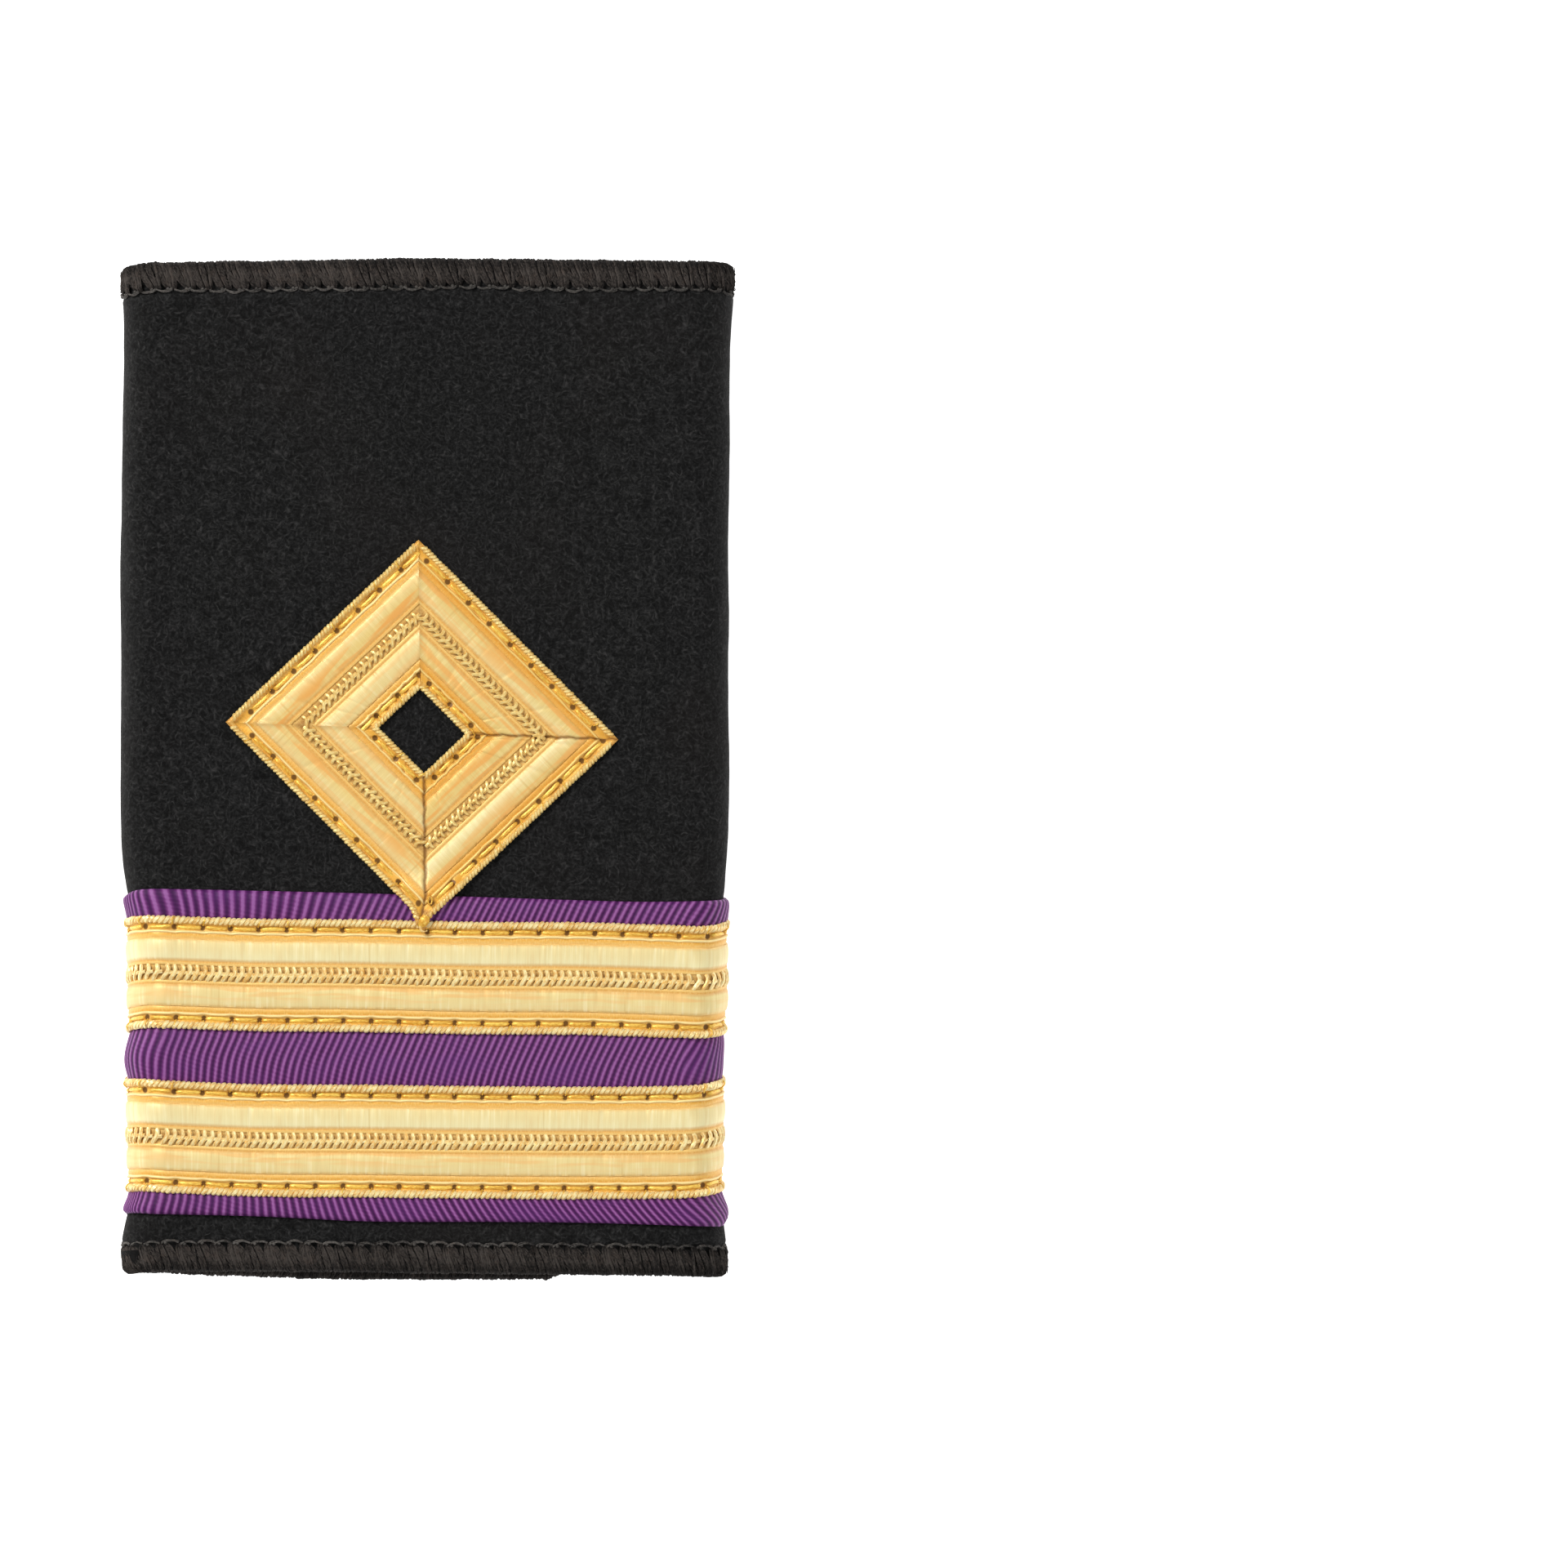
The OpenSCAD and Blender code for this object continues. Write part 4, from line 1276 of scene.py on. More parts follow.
def overlocks():
    wraps, chains = hem_units()
    made = {}
    for name, side in (("top_overlock", 1), ("bottom_overlock", -1)):
        line = hem_line(side)
        made[name] = (
            hem_skin(name + "_skin", side),
            row_of(name + "_wraps", [line], wraps, WRAP_PITCH, OVERLOCK, 0.05, 0.05, 11 + side),
            row_of(name + "_chain", [line], chains, WRAP_PITCH, CHAIN_THREAD, 0.04, 0.05, 11 + side),
        )
    drop(*wraps, *chains)
    return made


def edge_tuft(name, rng):
    """Three strands round the panel's free edge, with a few hairs."""
    strands = []
    for offset in (-0.2, 0.0, 0.2):
        reach = rng.uniform(0.26, 0.38)
        slope = rng.normal(0, 0.14)
        path = [
            (offset - slope, -0.55, 0.06),
            (offset - slope * 0.4, 0.1, 0.10),
            (offset, reach, -0.4),
            (offset + slope * 0.4, reach, -1.0),
            (offset + slope, 0.0, -1.66),
        ]
        strands.append(tube(curved(path, 9), rng.uniform(0.14, 0.2), 5, 0.8, across=(1, 0, 0)))
    for _ in range(3):
        foot = np.array((rng.uniform(-0.3, 0.3), rng.uniform(-0.3, 0.2), 0.1))
        halfway = foot + (rng.normal(0, 0.1), 0.12, 0.12)
        tip = foot + (rng.normal(0, 0.3), rng.normal(0, 0.3), 0.18)
        strands.append(tube(curved([foot, halfway, tip], 4), 0.028, 3))
    return make_unit(name, *strands)


EDGE_LINK = ((-0.66, 0.06, -0.1), (-0.4, 0.0, 0.07), (0.0, 0.0, 0.1), (0.4, 0.0, 0.07), (0.66, -0.06, -0.1))


def edge_overlock():
    """The back panel's free edge: a fine overlock in the felt's colour with a light bead."""
    low, high = hems(ROUND[0])
    heights = spaced(low + HEM_BAND, (high - HEM_BAND, 0.3))
    past, out = thread_skin(EDGE_BAND, 0.1).T
    ridges = 0.04 * np.cos(2 * math.pi * heights / EDGE_RIDGE_PITCH)[:, None] * (out > -FELT_T / 2)
    rings = raised(ROUND[0] + HEM_OVER - past, heights[:, None], out + ridges)
    skin = make_mesh("edge_skin", *loft(rings), BLACK_FELT)
    rng = np.random.default_rng(72)
    tufts = [edge_tuft(f"edge_tuft_{k}", rng) for k in range(3)]
    outer = line_over(np.full(len(heights), ROUND[0] + HEM_OVER), heights)
    bead = row_of("edge_bead", [outer], tufts, TUFT_PITCH, BEAD_THREAD, 0.12, 0.16, 21)
    links = []
    for k, sway in enumerate((0.1, -0.1, 0.04)):
        path = curved(swayed(EDGE_LINK, [1, 3], 1, sway), 9)
        links.append(make_unit(f"edge_link_{k}", tube(path, 0.14, sides=5)))
    inner = line_over(np.full(len(heights), ROUND[0] + EDGE_CHAIN_IN), heights)
    chain = row_of("edge_chain", [inner], links, EDGE_LINK_PITCH, EDGE_CHAIN, 0.12, 0.1, 22)
    drop(*tufts, *links)
    return skin, bead, chain


# Lean of the ribbon's ribs: how far a rib moves round the sleeve for its rise up it.
# Columns: mark round the sleeve, lean in the strip above the laces, between and below them
RIB_LEAN = np.array(
    [
        (0.7, 0.45, -0.15, -0.25),
        (0.8, 0.35, -0.15, -0.25),
        (1.0, 0.3, -0.17, -0.3),
        (1.5, 0.1, 0.0, -0.2),
        (2.0, 0.05, 0.2, -0.08),
        (2.25, 0.48, 0.35, -0.3),
        (2.45, 0.5, 0.42, -0.38),
        (2.65, 0.40, 0.47, -0.45),
        (2.85, 0.45, 0.5, -0.45),
        (3.0, 0.5, 0.5, -0.5),
        (3.5, 0.4, 0.1, -0.35),
        (4.0, 0.35, -0.4, -0.2),
        (4.4, 0.35, -0.4, -0.2),
    ]
)
RIB_COLUMNS = 6
# The ribs fade in over this length at the ribbon's ends
END_FADE = 4.0
# A strip of the ribbon goes this far under the lace beside it
UNDER_LACE = 0.35


def ribbon_stations(way):
    """Heights of rows across the ribbon at a way, with their shares of the puff and of the ribs."""
    top, upper, lower, foot = drift(way)
    low, high = RIBBON_LOW + foot, RIBBON_HIGH + top
    edges = [
        middle + side * LACE_W / 2
        for middle in (LOWER_LACE_Y + lower, UPPER_LACE_Y + upper)
        for side in (-1, 1)
    ]
    strips = ((low, edges[0]), (edges[1], edges[2]), (edges[3], high))
    rows, puffs, ribs = [], [], []
    for number, (start, end) in enumerate(strips):
        share = np.linspace(0, 1, (13, 17, 13)[number])
        over = -UNDER_LACE if number > 0 else 0.0
        under = UNDER_LACE if number < 2 else 0.0
        rows.append(start + over + (end + under - start - over) * share[:, None])
        round_off = np.clip(1 - np.abs(2 * share - 1) ** 3.2, 0, 1) ** 0.6
        puffs.append(round_off)
        ribs.append(ease(0, 0.08, share) * ease(0, 0.08, 1 - share))
    return np.concatenate(rows).T, np.concatenate(puffs), np.concatenate(ribs)


def ribbon_sway(way, y):
    """How far a rib has moved round the sleeve at a height, from the ribbon's middle."""
    lean = soft_table(RIB_LEAN, round_mark(way))
    step = LACE_STEP / 2 + 4.0
    up = np.clip(y - TRIM_Y, -18, 18)
    outer = np.where(up > 0, lean[..., 0], lean[..., 2])
    return lean[..., 1] * up + (outer - lean[..., 1]) * up * np.abs(up) / (2 * step)


def ribbon():
    """The ribbed ribbon, which puffs up between the laces."""
    phase = np.arange(RIBBON_START, TRIM_STOP, RIB_PITCH / RIB_COLUMNS)[:, None]
    y, puff, ribs = ribbon_stations(phase[:, 0])
    fade = ease(0, END_FADE, phase - RIBBON_START) * ease(0, END_FADE, TRIM_STOP - phase)
    share = (y - RIBBON_LOW) / RIBBON_W
    near = 1 - np.clip((phase - RIBBON_START) / END_FADE, 0, 1)
    way = phase + fade * ribbon_sway(phase, y) + near * soft_table(RIBBON_SLANT, share)[..., 0]
    crest = np.abs(np.cos(math.pi * phase / RIB_PITCH)) ** 0.9 - 0.5
    uneven = 0.05 * waves(phase, y, 8, 5.0)
    height = SEAT_GAP + RIBBON_T + RIBBON_PUFF * (puff + uneven * 2 * puff) + RIB_H * crest * ribs
    outer = raised(way, y, height)
    inner = raised(way, y, np.full(y.shape, SEAT_GAP))
    rings = np.concatenate([outer, inner[:, ::-1]], 1)
    up = np.concatenate([y, y[:, ::-1]], 1)
    lay = np.stack([np.broadcast_to(phase, up.shape), up, up * 0], -1)
    return make_mesh("purple_ribbon", *loft(rings, paired=True), PURPLE, lay=lay)


def ribbon_corner():
    """The rolled upper corner of the ribbon's end on the back panel."""
    top = RIBBON_HIGH + drift(RIBBON_START)[0]
    fall = np.array((0.25, -0.2, -0.8, -1.5, -2.3))
    x = np.array((-18.1, -18.15, -17.85, -17.5, -17.2))
    at = curved(np.column_stack([x, top + fall]), 16)
    line = raised(way_of(at[:, 0]), at[:, 1], np.full(16, SEAT_GAP + 0.34))
    thick = np.interp(np.arange(16), (0, 3, 8, 15), (0.16, 0.3, 0.3, 0.14))
    points, faces, lay = tube(line, thick, 10, 0.85, across=(1, 0, 0))
    return make_mesh("ribbon_corner", points, faces, PURPLE, lay=lay * (1, 3, 1))


# How far the ribbon's end on the back panel goes, by share of its height: its upper corner is
# folded far in, and its middle is hollow
RIBBON_SLANT = ((0.0, -1.2), (0.1, -1.3), (0.36, -0.6), (0.5, 0.0), (0.64, -0.2), (0.9, 0.05), (1.0, 1.0))


def end_lumps(away, across):
    """Extra height of the lace's turned-in end, its pale share, and its shares of painted shade in
    the slit and the crease, by distance.
    """
    def hump(middle, wide):
        return np.exp(-(((away - middle) / wide) ** 2))

    satin = (np.abs(across) > 1.2) & (np.abs(across) < 3.4)
    turned_in = TURN_IN_T * (1 - ease(TURN_IN, TURN_IN + 0.5, away))
    rise = -0.3 * hump(0.88, 0.17) - 0.18 * hump(2.15, 0.16) + turned_in
    slit = hump(0.88, 0.17) * (0.6 + 0.4 * np.cos(across * 1.9 + 0.6))
    pale = hump(0.32, 0.27) * (0.5 + 0.5 * satin) + 0.8 * hump(1.5, 0.27)
    shadow = 0.55 * hump(2.15, 0.13)
    return np.broadcast_arrays(rise, np.clip(slit, 0, 1), np.clip(pale, 0, 1), shadow)


def end_rolls(name, middle):
    """The rolled end of a band on the back panel: two ropes of its own threads across it."""
    across = np.linspace(-5.25, 5.25, 100)
    pinch = sum(np.exp(-(((np.abs(across) - spot) / 0.2) ** 2)) for spot in (4.75, 3.6, 1.25))
    ropes = []
    for away, thick in ((0.24, 0.38), (1.46, 0.32)):
        way = LACE_START + away + 0.06 * np.sin(across * 2.3 + away * 5)
        y = middle + lace_drift(way, middle) + across
        point = raised(way, y, np.full(len(across), LACE_SEAT + 0.5))
        ropes.append(tube(point, thick * (1 - 0.45 * pinch), 8, 0.8, across=(1, 0, 0)))
    points, faces, lay = joined(*ropes)
    return make_mesh(name + "_end", points, faces, PALE_THREAD, lay=lay)


def lace_drift(way, middle):
    return drift(way)[1 if middle > TRIM_Y else 2]


# Rows of the lace's underside, across it
UNDER_ACROSS = np.array((5.3, 2.0, -2.0, -5.3))
# Share of the deep gold, painted shade, on the lower half of a band
LOWER_HALF_SHADE = 0.65


def lace_band(name, middle, seed):
    """A band of lace from its rolled end on the back panel round to under the panel's edge."""
    way = spaced(LACE_START, (LACE_START + 3, 0.08), (TRIM_STOP, 0.21))
    stitch = way / STITCH_PITCH
    across, height = lace_relief(way, stitch, seed)
    away = (way - LACE_START)[:, None]
    rise, slit, pale, shadow = end_lumps(away, across)
    height = height + rise
    stick = 0.15 * np.exp(-((away / 0.3) ** 2)) * (np.cos(np.abs(across) * 1.7) - 0.2)
    lace = lace_drift(way, middle)
    y = middle + lace[:, None] + across
    uneven = 0.03 * waves(way[:, None], y, seed, 7.0)
    outer = raised(way[:, None] - stick, y, LACE_SEAT + height + uneven)
    under_y = middle + lace[:, None] + UNDER_ACROSS
    inner = raised(way[:, None], under_y, np.full(under_y.shape, LACE_SEAT))
    rings = np.concatenate([outer, inner], 1)
    under = np.broadcast_to(UNDER_ACROSS, under_y.shape)
    across = np.concatenate([across, under], 1)
    run = np.broadcast_to(way[:, None], across.shape)
    lay = np.stack([run, across, run / STITCH_PITCH], -1)
    none = np.zeros(under_y.shape)
    # Painted shade in the end's crease and slit, and its pale share
    turn = np.stack([np.concatenate([part, none], 1) for part in (shadow, pale, slit)], -1)
    deep = LOWER_HALF_SHADE * ease(-0.9, -1.3, across) * (1 - 0.85 * ease(-1.5, -3.1, across))
    tint = np.stack([deep, run < LACE_START + 2.5, run * 0], -1)
    return make_mesh(name, *loft(rings), LACE, lay=lay, turn=turn, tint=tint)


# Middle lines of the lace's threads. Columns: along the row, across it, off the face
CORD_BEAD = (
    (-0.30, -0.28, -0.08),
    (-0.12, -0.16, 0.08),
    (0.04, 0.02, 0.13),
    (0.2, 0.2, 0.06),
    (0.3, 0.28, -0.10),
)
CORD_SHAPE = np.array((0.5, 0.95, 1.05, 1.05, 0.95, 0.5))
STITCH = (
    (-1.16, 0.03, -0.28),
    (-1.02, 0.02, -0.09),
    (-0.5, 0.0, -0.01),
    (0.3, 0.0, -0.01),
    (1.0, 0.02, -0.07),
    (1.16, 0.03, -0.28),
)
STITCH_SIZE = np.array((0.09, 0.13, 0.155, 0.165, 0.165, 0.165, 0.165, 0.155, 0.13, 0.09))
STITCH_OVER = ((1.36, 0.22, -0.06), (1.42, 0.42, 0.16), (1.5, 0.66, 0.30), (1.58, 0.94, 0.02))
CHAIN_BOW = (
    (0.04, 0.80, -0.02),
    (0.17, 0.55, 0.14),
    (0.20, 0.2, 0.19),
    (0.06, -0.14, 0.19),
    (-0.18, -0.46, 0.17),
    (-0.36, -0.80, -0.02),
)
CHAIN_SIZE = np.array((0.2, 0.235, 0.235, 0.23, 0.235, 0.24, 0.235, 0.235, 0.235, 0.2))
CHAIN_BRIDGE = ((0.0, -0.10, 0.04), (0.3, -0.04, 0.17), (0.64, 0.0, 0.04))


def lace_units(cord=1.0, chain=1.0):
    """Units that the lace's rows repeat: cord beads, sewing stitches and chain links. The
    cord's and the chain's sizes are shares of the bands'."""
    beads, stitches, links = [], [], []
    for k, wide in enumerate((0.25, 0.27, 0.235)):
        path = curved(CORD_BEAD, 6) * cord
        bead = tube(path, CORD_SHAPE * wide * cord, sides=6, across=(1, -1, 0))
        beads.append(make_unit(f"cord_bead_{k}", bead))
    for k, sway in enumerate((0.0, 0.05, -0.04)):
        path = curved(swayed(STITCH, [2, 3], 1, sway), 10)
        long = tube(path, STITCH_SIZE, 6, 0.8, lobes=2, depth=0.16)
        over = tube(curved(STITCH_OVER, 7), 0.075, 5, across=(1, 0, 0))
        stitches.append(make_unit(f"stitch_{k}", long, over))
    for k, sway in enumerate((0.0, 0.025, -0.025)):
        path = curved(swayed(CHAIN_BOW, [1, 2], 0, sway), 10) * (1, chain, 1)
        bow = tube(path, CHAIN_SIZE * (0.3 + 0.7 * chain), 6, 0.8, across=(1, 0, 0))
        bridge = tube(curved(CHAIN_BRIDGE, 5), 0.2, 5, 0.8)
        links.append(make_unit(f"chain_link_{k}", bow, bridge))
    return beads, stitches, links


def at_phase(start, end, pitch, offset):
    """Stations between start and end at whole numbers of the pitch and an offset."""
    first = math.ceil(start / pitch - offset)
    last = math.floor(end / pitch - offset)
    return (np.arange(first, last + 1) + offset) * pitch


def both_ways(line, across, stations, out):
    """Lines of a row along both sides of the lace, the lower one run backwards."""
    return [line(across, stations, out), line(-across, stations[::-1], out)]


def lace_rows(name, ropes, pitches, colour, units, seed):
    """Rows of cord, sewing stitches and chain. Each rope is a list of lines."""
    spreads = ((0.07, 0.08), (0.05, 0.04), (0.04, 0.05))
    rows = zip(("cord", "stitches", "chain"), ropes, units, pitches, (colour, GOLD_THREAD, colour), spreads)
    return [
        row_of(f"{name}_{part}", lines, unit, pitch, finish, *spread, seed + k)
        for k, (part, lines, unit, pitch, finish, spread) in enumerate(rows)
    ]


def band_rows(name, middle, units, seed):
    """A band's rolled end, its edge cords, its sewing stitches and its middle chain."""
    def line(across, ways, out):
        return line_over(ways, middle + lace_drift(ways, middle) + across, LACE_SEAT + out)

    start, end = LACE_START + 0.15, TRIM_STOP - 0.15
    sewn = at_phase(start + 2.6, end, STITCH_PITCH, 0.5)
    chained = at_phase(start + 2.4, end, CHAIN_PITCH, 0.0)
    cord = both_ways(line, LACE_W / 2 - CORD_IN, spaced(start, (end, 0.4)), CORD_OUT)
    sewing = both_ways(line, HOLE_LINE, sewn, STITCH_OUT)
    chain = [line(0.0, chained, CHAIN_OUT)]
    rows = lace_rows(name, (cord, sewing, chain), (CORD_PITCH, 0.0, 0.0), CREAM_THREAD, units, seed)
    return end_rolls(name, middle), *rows


def diamond_corners(long, short):
    """Corners of the diamond: top, right, bottom and left."""
    long_way = np.array((math.cos(LONG_FALL), -math.sin(LONG_FALL)))
    short_way = np.array((math.cos(SHORT_RISE), math.sin(SHORT_RISE)))
    middle = np.array((DIAMOND_X, DIAMOND_Y))
    signs = ((-1, 1), (1, 1), (1, -1), (-1, -1))
    return np.array([middle + a * long / 2 * long_way + b * short / 2 * short_way for a, b in signs])


OUTER_CORNERS = diamond_corners(DIAMOND_LONG, DIAMOND_SHORT)
INNER_CORNERS = diamond_corners(HOLE_LONG, HOLE_SHORT)

# The slit beside the tip of the diamond, where its folded end pokes out
TIP_SLIT = np.array(((-0.25, -14.1), (0.3, -14.32), (0.85, -14.55)))


def climbed(edge, run, y):
    """1 below an edge, falling to 0 over a run above it."""
    return 1 - ease(edge + 0.2, edge + 0.2 + run, y)


def diamond_seat(y):
    """Height of the diamond's underside over the felt: it climbs onto the ribbon and the lace."""
    ribbon_edge = RIBBON_HIGH + TRIM_LEAN * soft_table(DRIFT, 2.4)[..., 0]
    return (
        SEAT_GAP
        + (RIBBON_T + RIBBON_PUFF + SEAT_GAP) * climbed(ribbon_edge, 2.5, y)
        + (LACE_T - RIBBON_PUFF + SEAT_GAP) * climbed(UPPER_LACE_Y + LACE_W / 2, 2.0, y)
    )


# How each of the diamond's corners is mitred: sunk (or raised) crease, its half width, and how
# dark the painted shade in it is. Corners: top, right, bottom, left
MITRES = ((0.08, 0.35, 0.15), (-0.2, 0.17, 0.8), (-0.16, 0.22, 0.85), (0.06, 0.4, 0.2))


def diamond_side(number, along_share, across):
    """Points on one side of the diamond, by share along it and millimetres across its lace."""
    following = (number + 1) % 4
    share = across / LACE_W + 0.5
    start = mix(INNER_CORNERS[number], OUTER_CORNERS[number], share[..., None])
    end = mix(INNER_CORNERS[following], OUTER_CORNERS[following], share[..., None])
    at = mix(start, end, along_share[..., None])
    near = np.exp(-((np.linalg.norm(at - OUTER_CORNERS[2], axis=-1) / 1.4) ** 2))
    return at + near[..., None] * (-TIP_LEFT, -TIP_DOWN)


def from_line(at, line):
    """Distance of points from the nearest of a line's dense points."""
    dense = np.concatenate([np.linspace(a, b, 12) for a, b in zip(line[:-1], line[1:])])
    return np.linalg.norm(at[..., None, :] - dense, axis=-1).min(-1)


def on_face(at, out):
    return raised(face_way(at[..., 0], at[..., 1]), at[..., 1], out)


def side_way(number):
    return unit_vectors(OUTER_CORNERS[(number + 1) % 4] - OUTER_CORNERS[number])


# Share of the deep gold, painted shade, on the diamond's sides, clockwise from its top corner.
# Columns: on a side's inner half, beside its chain, beside its outer sewing
SIDES_SHADE = ((0.9, 0.6, 1.0), (1.0, 0.15, 1.0), (0.6, 1.0, 0.3), (0.45, 1.2, 0.2))


def mitred(number, run, across, height):
    """Height of a side's rows with the creases of its two mitres, and how dark the painted shade in
    those is.
    """
    way = side_way(number)
    first = diamond_side(number, np.zeros_like(across), across) @ way
    last = diamond_side(number, np.ones_like(across), across) @ way
    jag = 0.08 * np.sin(across * 4.0) + 0.05 * np.sin(across * 9.0 + 1.0)
    dark = 0.0
    for corner, away in ((number, run - first), ((number + 1) % 4, last - run)):
        deep, wide, shadow = MITRES[corner]
        side = 1 if corner == number else -1
        near = np.exp(-(((away + side * jag * (corner in (1, 2))) / wide) ** 2))
        height = height + deep * near
        dark = dark + shadow * near
    return height, dark


def side_ring(number):
    """Rings of the lace along one side of the diamond, with its lay, turn and tint."""
    edge = np.array((0.0, 0.002, 0.006, 0.012, 0.02, 0.03, 0.04))
    share = np.concatenate([0.0004 + edge, np.linspace(0.05, 0.95, 120), 0.9996 - edge[::-1]])
    way = side_way(number)
    along = diamond_side(number, share, np.zeros(len(share))) @ way
    across, height = lace_relief(along, along / STITCH_PITCH, 40 + number)
    at = diamond_side(number, np.broadcast_to(share[:, None], across.shape), across)
    height, dark = mitred(number, at @ way, across, height)
    slit = np.exp(-((from_line(at, TIP_SLIT) / 0.17) ** 2))
    height = np.maximum(height - 0.25 * slit, 0.04)
    outer = on_face(at, diamond_seat(at[..., 1]) + height)
    under = np.broadcast_to(UNDER_ACROSS, (len(share), len(UNDER_ACROSS)))
    below = diamond_side(number, np.broadcast_to(share[:, None], under.shape), under)
    inner = on_face(below, diamond_seat(below[..., 1]))
    across = np.concatenate([across, under], 1)
    run = np.concatenate([at @ way, below @ way], 1)
    none = np.zeros(run.shape)
    # Painted shade in the mitre creases and in the slit beside the tip
    seam = np.concatenate([np.clip(dark + slit, 0, 1), np.zeros(under.shape)], 1)
    inner_deep, chain_deep, outer_deep = SIDES_SHADE[number]
    outer_half = mix(chain_deep, outer_deep, ease(1.4, 3.4, across))
    deep = np.where(across < 0, inner_deep, outer_half)
    rings = np.concatenate([outer, inner], 1)
    fields = ((run, across, run / STITCH_PITCH), (seam, none, none), (deep, none, none))
    return rings, *[np.stack(field, -1) for field in fields]


def lace_diamond():
    """Four mitred lengths of lace in one closed ring."""
    rings, lay, turn, tint = [np.concatenate(part) for part in zip(*map(side_ring, range(4)))]
    points, faces = loft(rings, closed=True)
    return make_mesh("diamond", points, faces, LACE, lay=lay, turn=turn, tint=tint)


# The folded end at the diamond's tip, its stray thread and the loop at the foot of its mitre
FOLDED_END = ((-0.05, -14.5), (-0.2, -14.85), (-0.45, -15.25), (-0.72, -15.65))
STRAY_THREAD = ((-0.7, -15.5), (-0.56, -15.9), (-0.3, -16.05), (0.05, -15.95))
LOOP_MIDDLE = (0.3, -12.95)
LOOP_REACH = (0.2, 0.42)
TIP_POINTS = 14


def tip_thread(stations, out, radii, flat=1.0):
    """A thread on the face through a few stations, with its radii in turn along it."""
    at = curved(stations, TIP_POINTS)
    line = on_face(at, diamond_seat(at[:, 1]) + out)
    share = np.linspace(0, 1, TIP_POINTS)
    size = np.interp(share, np.linspace(0, 1, len(radii)), radii)
    return tube(line, size, 8, flat, across=(1, 0.3, 0))


def diamond_tip():
    """The folded end of the lace that pokes out at the diamond's lower tip, with a stray thread,
    and the thread loop at the foot of its mitre."""
    turn = np.linspace(0, 2 * math.pi, 9)
    ring = np.column_stack([np.cos(turn), np.sin(turn)]) * LOOP_REACH + LOOP_MIDDLE
    fold = tip_thread(FOLDED_END, 0.46, (0.36, 0.52, 0.44, 0.16), 0.5)
    points, faces, lay = joined(fold, tip_thread(ring, 0.62, (0.08, 0.08)))
    folded = make_mesh("diamond_tip", points, faces, GOLD_THREAD, lay=lay)
    points, faces, lay = tip_thread(STRAY_THREAD, 0.5, (0.14, 0.15, 0.1, 0.05))
    return folded, make_mesh("diamond_stray", points, faces, CREAM_THREAD, lay=lay)


# Sizes of the diamond's cord and chain as shares of the bands'
DIAMOND_CORD = 0.8
DIAMOND_CHAIN = 0.72
DIAMOND_CORD_IN = 0.25


def diamond_rows(units):
    """The diamond's edge cords, sewing stitches and chains, and its tip."""
    cords, sewing, chains = [], [], []
    for number in range(4):
        def line(across, stations, out):
            ends = diamond_side(number, np.array((0.0, 1.0)), np.full(2, across))
            first, last = ends @ side_way(number)
            share = (stations - first) / (last - first)
            share = share[(share > 0.015) & (share < 0.985)]
            at = diamond_side(number, share, np.full(len(share), across))
            return line_over(face_way(at[:, 0], at[:, 1]), at[:, 1], diamond_seat(at[:, 1]) + out)

        run = OUTER_CORNERS[number] @ side_way(number)
        fine = np.arange(run - 1, run + 30, CORD_PITCH * DIAMOND_CORD)
        sewn = at_phase(run - 2, run + 32, STITCH_PITCH, 0.5)
        chained = at_phase(run - 2, run + 32, CHAIN_PITCH, 0.0)
        cords += both_ways(line, LACE_W / 2 - DIAMOND_CORD_IN, fine, CORD_OUT)
        sewing += both_ways(line, HOLE_LINE, sewn, STITCH_OUT)
        chains.append(line(0.0, chained, CHAIN_OUT))
    rows = lace_rows("diamond", (cords, sewing, chains), (0.0, 0.0, 0.0), DIAMOND_THREAD, units, 51)
    return *rows, *diamond_tip()


# A stitch of the back seam, which dips into the felt at its ends
SEAM_STITCH = ((-0.7, 0.0, -0.14), (-0.4, 0.0, 0.0), (0.4, 0.0, 0.0), (0.7, 0.0, -0.14))


def back_seam():
    """Faint stitches through the back panel, which join it to the flap."""
    heights = spaced(-HALF_L + 4, (HALF_L - 4, 0.5))
    x = mix(*SEAM_X, (heights + HALF_L) / SLEEVE_L)
    stitch = make_unit("seam_stitch", tube(curved(SEAM_STITCH, 6), 0.1, sides=5))
    line = line_over(way_of(x), heights)
    row = row_of("seam_stitches", [line], [stitch], SEAM_PITCH, OVERLOCK_SKIN, 0.1, 0.06, 61)
    drop(stitch)
    return row


felt = felt_sleeve()
locks = overlocks()
edge_pieces = edge_overlock()
purple = ribbon()
rolled = ribbon_corner()
bands = {
    "upper_lace": lace_band("upper_band", UPPER_LACE_Y, 31),
    "lower_lace": lace_band("lower_band", LOWER_LACE_Y, 32),
}
trim_units = lace_units()
trims = {
    "upper_lace": band_rows("upper_band", UPPER_LACE_Y, trim_units, 33),
    "lower_lace": band_rows("lower_band", LOWER_LACE_Y, trim_units, 36),
}
diamond = lace_diamond()
fine_units = lace_units(DIAMOND_CORD, DIAMOND_CHAIN)
diamond_trims = diamond_rows(fine_units)
for units in (*trim_units, *fine_units):
    drop(*units)
seam = back_seam()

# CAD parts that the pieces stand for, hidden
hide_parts("felt_sleeve")
for name, parts in locks.items():
    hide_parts(name)
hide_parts("edge_overlock")
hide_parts("ribbon")
for name, band in bands.items():
    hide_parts(name)
    for piece in (band, *trims[name]):
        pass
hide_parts("lace_diamond")

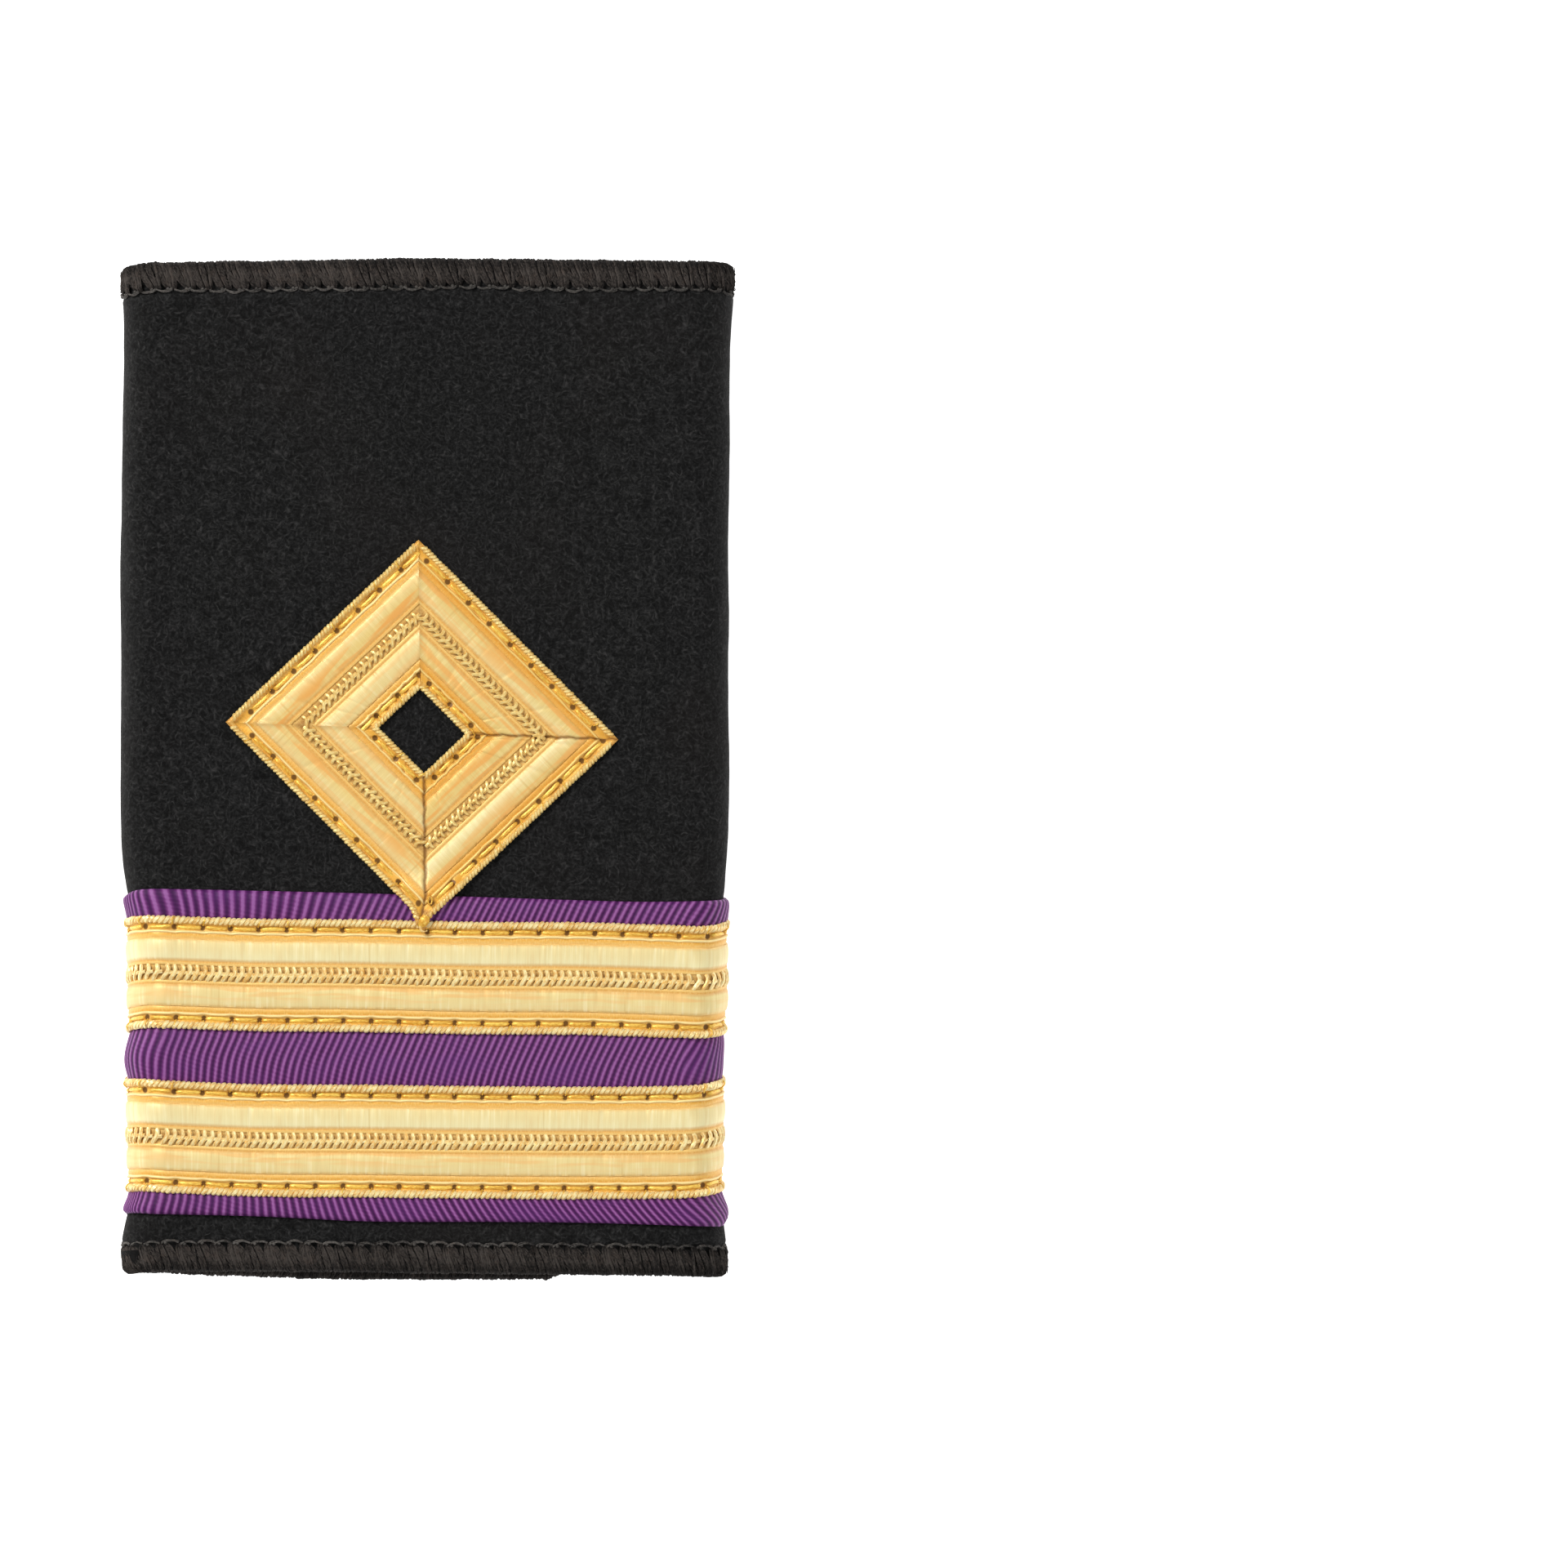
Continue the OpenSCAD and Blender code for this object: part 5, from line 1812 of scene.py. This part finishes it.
lock_pieces = [piece for parts in locks.values() for piece in parts]
every_piece = [felt, *lock_pieces, *edge_pieces, purple, rolled, seam, diamond, *diamond_trims]
for name, band in bands.items():
    every_piece += [band, *trims[name]]
for piece in every_piece:
    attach(piece, "root")

for name, band in bands.items():
    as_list(trims[name])

# Picture
FLOOR_SIZE = 8.0
FLOOR_DROP = 0.4
EYE = (0.03531, -0.00145, 3.8885)


def floor():
    half = FLOOR_SIZE / 2
    down = -FLOOR_DROP * MM
    corners = [(-half, -half, down), (half, -half, down), (half, half, down), (-half, half, down)]
    mesh = bpy.data.meshes.new("floor")
    mesh.from_pydata(corners, [], [(0, 1, 2, 3)])
    f = Finish("white_paper")
    place = f.add("ShaderNodeTexCoord", output="Object")
    grain = f.noise(place, 300.0, 2.0)
    tone = f.blend(grain * 0.01, (0.9, 0.9, 0.9), (0.85, 0.85, 0.85))
    glow = {"Emission_Color": (1, 1, 1, 1), "Emission_Strength": 0.85}
    mesh.materials.append(f.finish(tone, 0.9, None, 0.1, **glow))
    return shown("floor", mesh)


def area_light(name, place, size, power, colour):
    """A square light that looks at the slide."""
    light = bpy.data.lights.new(name, "AREA")
    light.shape = "SQUARE"
    light.size = size
    light.energy = power
    light.color = colour
    made = shown(name, light)
    made.location = place
    made.rotation_euler = (-Vector(place)).to_track_quat("-Z", "Y").to_euler()


def camera():
    lens = bpy.data.cameras.new("camera")
    lens.lens = 900
    lens.sensor_width = 36
    lens.clip_end = 20
    made = shown("camera", lens)
    made.location = EYE
    bpy.context.scene.camera = made


def surroundings():
    world = bpy.data.worlds.new("world")
    world.use_nodes = True
    ground = world.node_tree.nodes["Background"]
    ground.inputs["Color"].default_value = (1, 1, 1, 1)
    ground.inputs["Strength"].default_value = 0.45
    bpy.context.scene.world = world
    bpy.context.scene.view_settings.view_transform = "Standard"


floor()
camera()
surroundings()
area_light("key", (-0.50, 0.50, 0.70), 0.35, 8.0, (1.0, 0.99, 0.97))
area_light("fill", (0.6, -0.3, 0.8), 0.8, 2.6, (0.98, 0.99, 1.0))
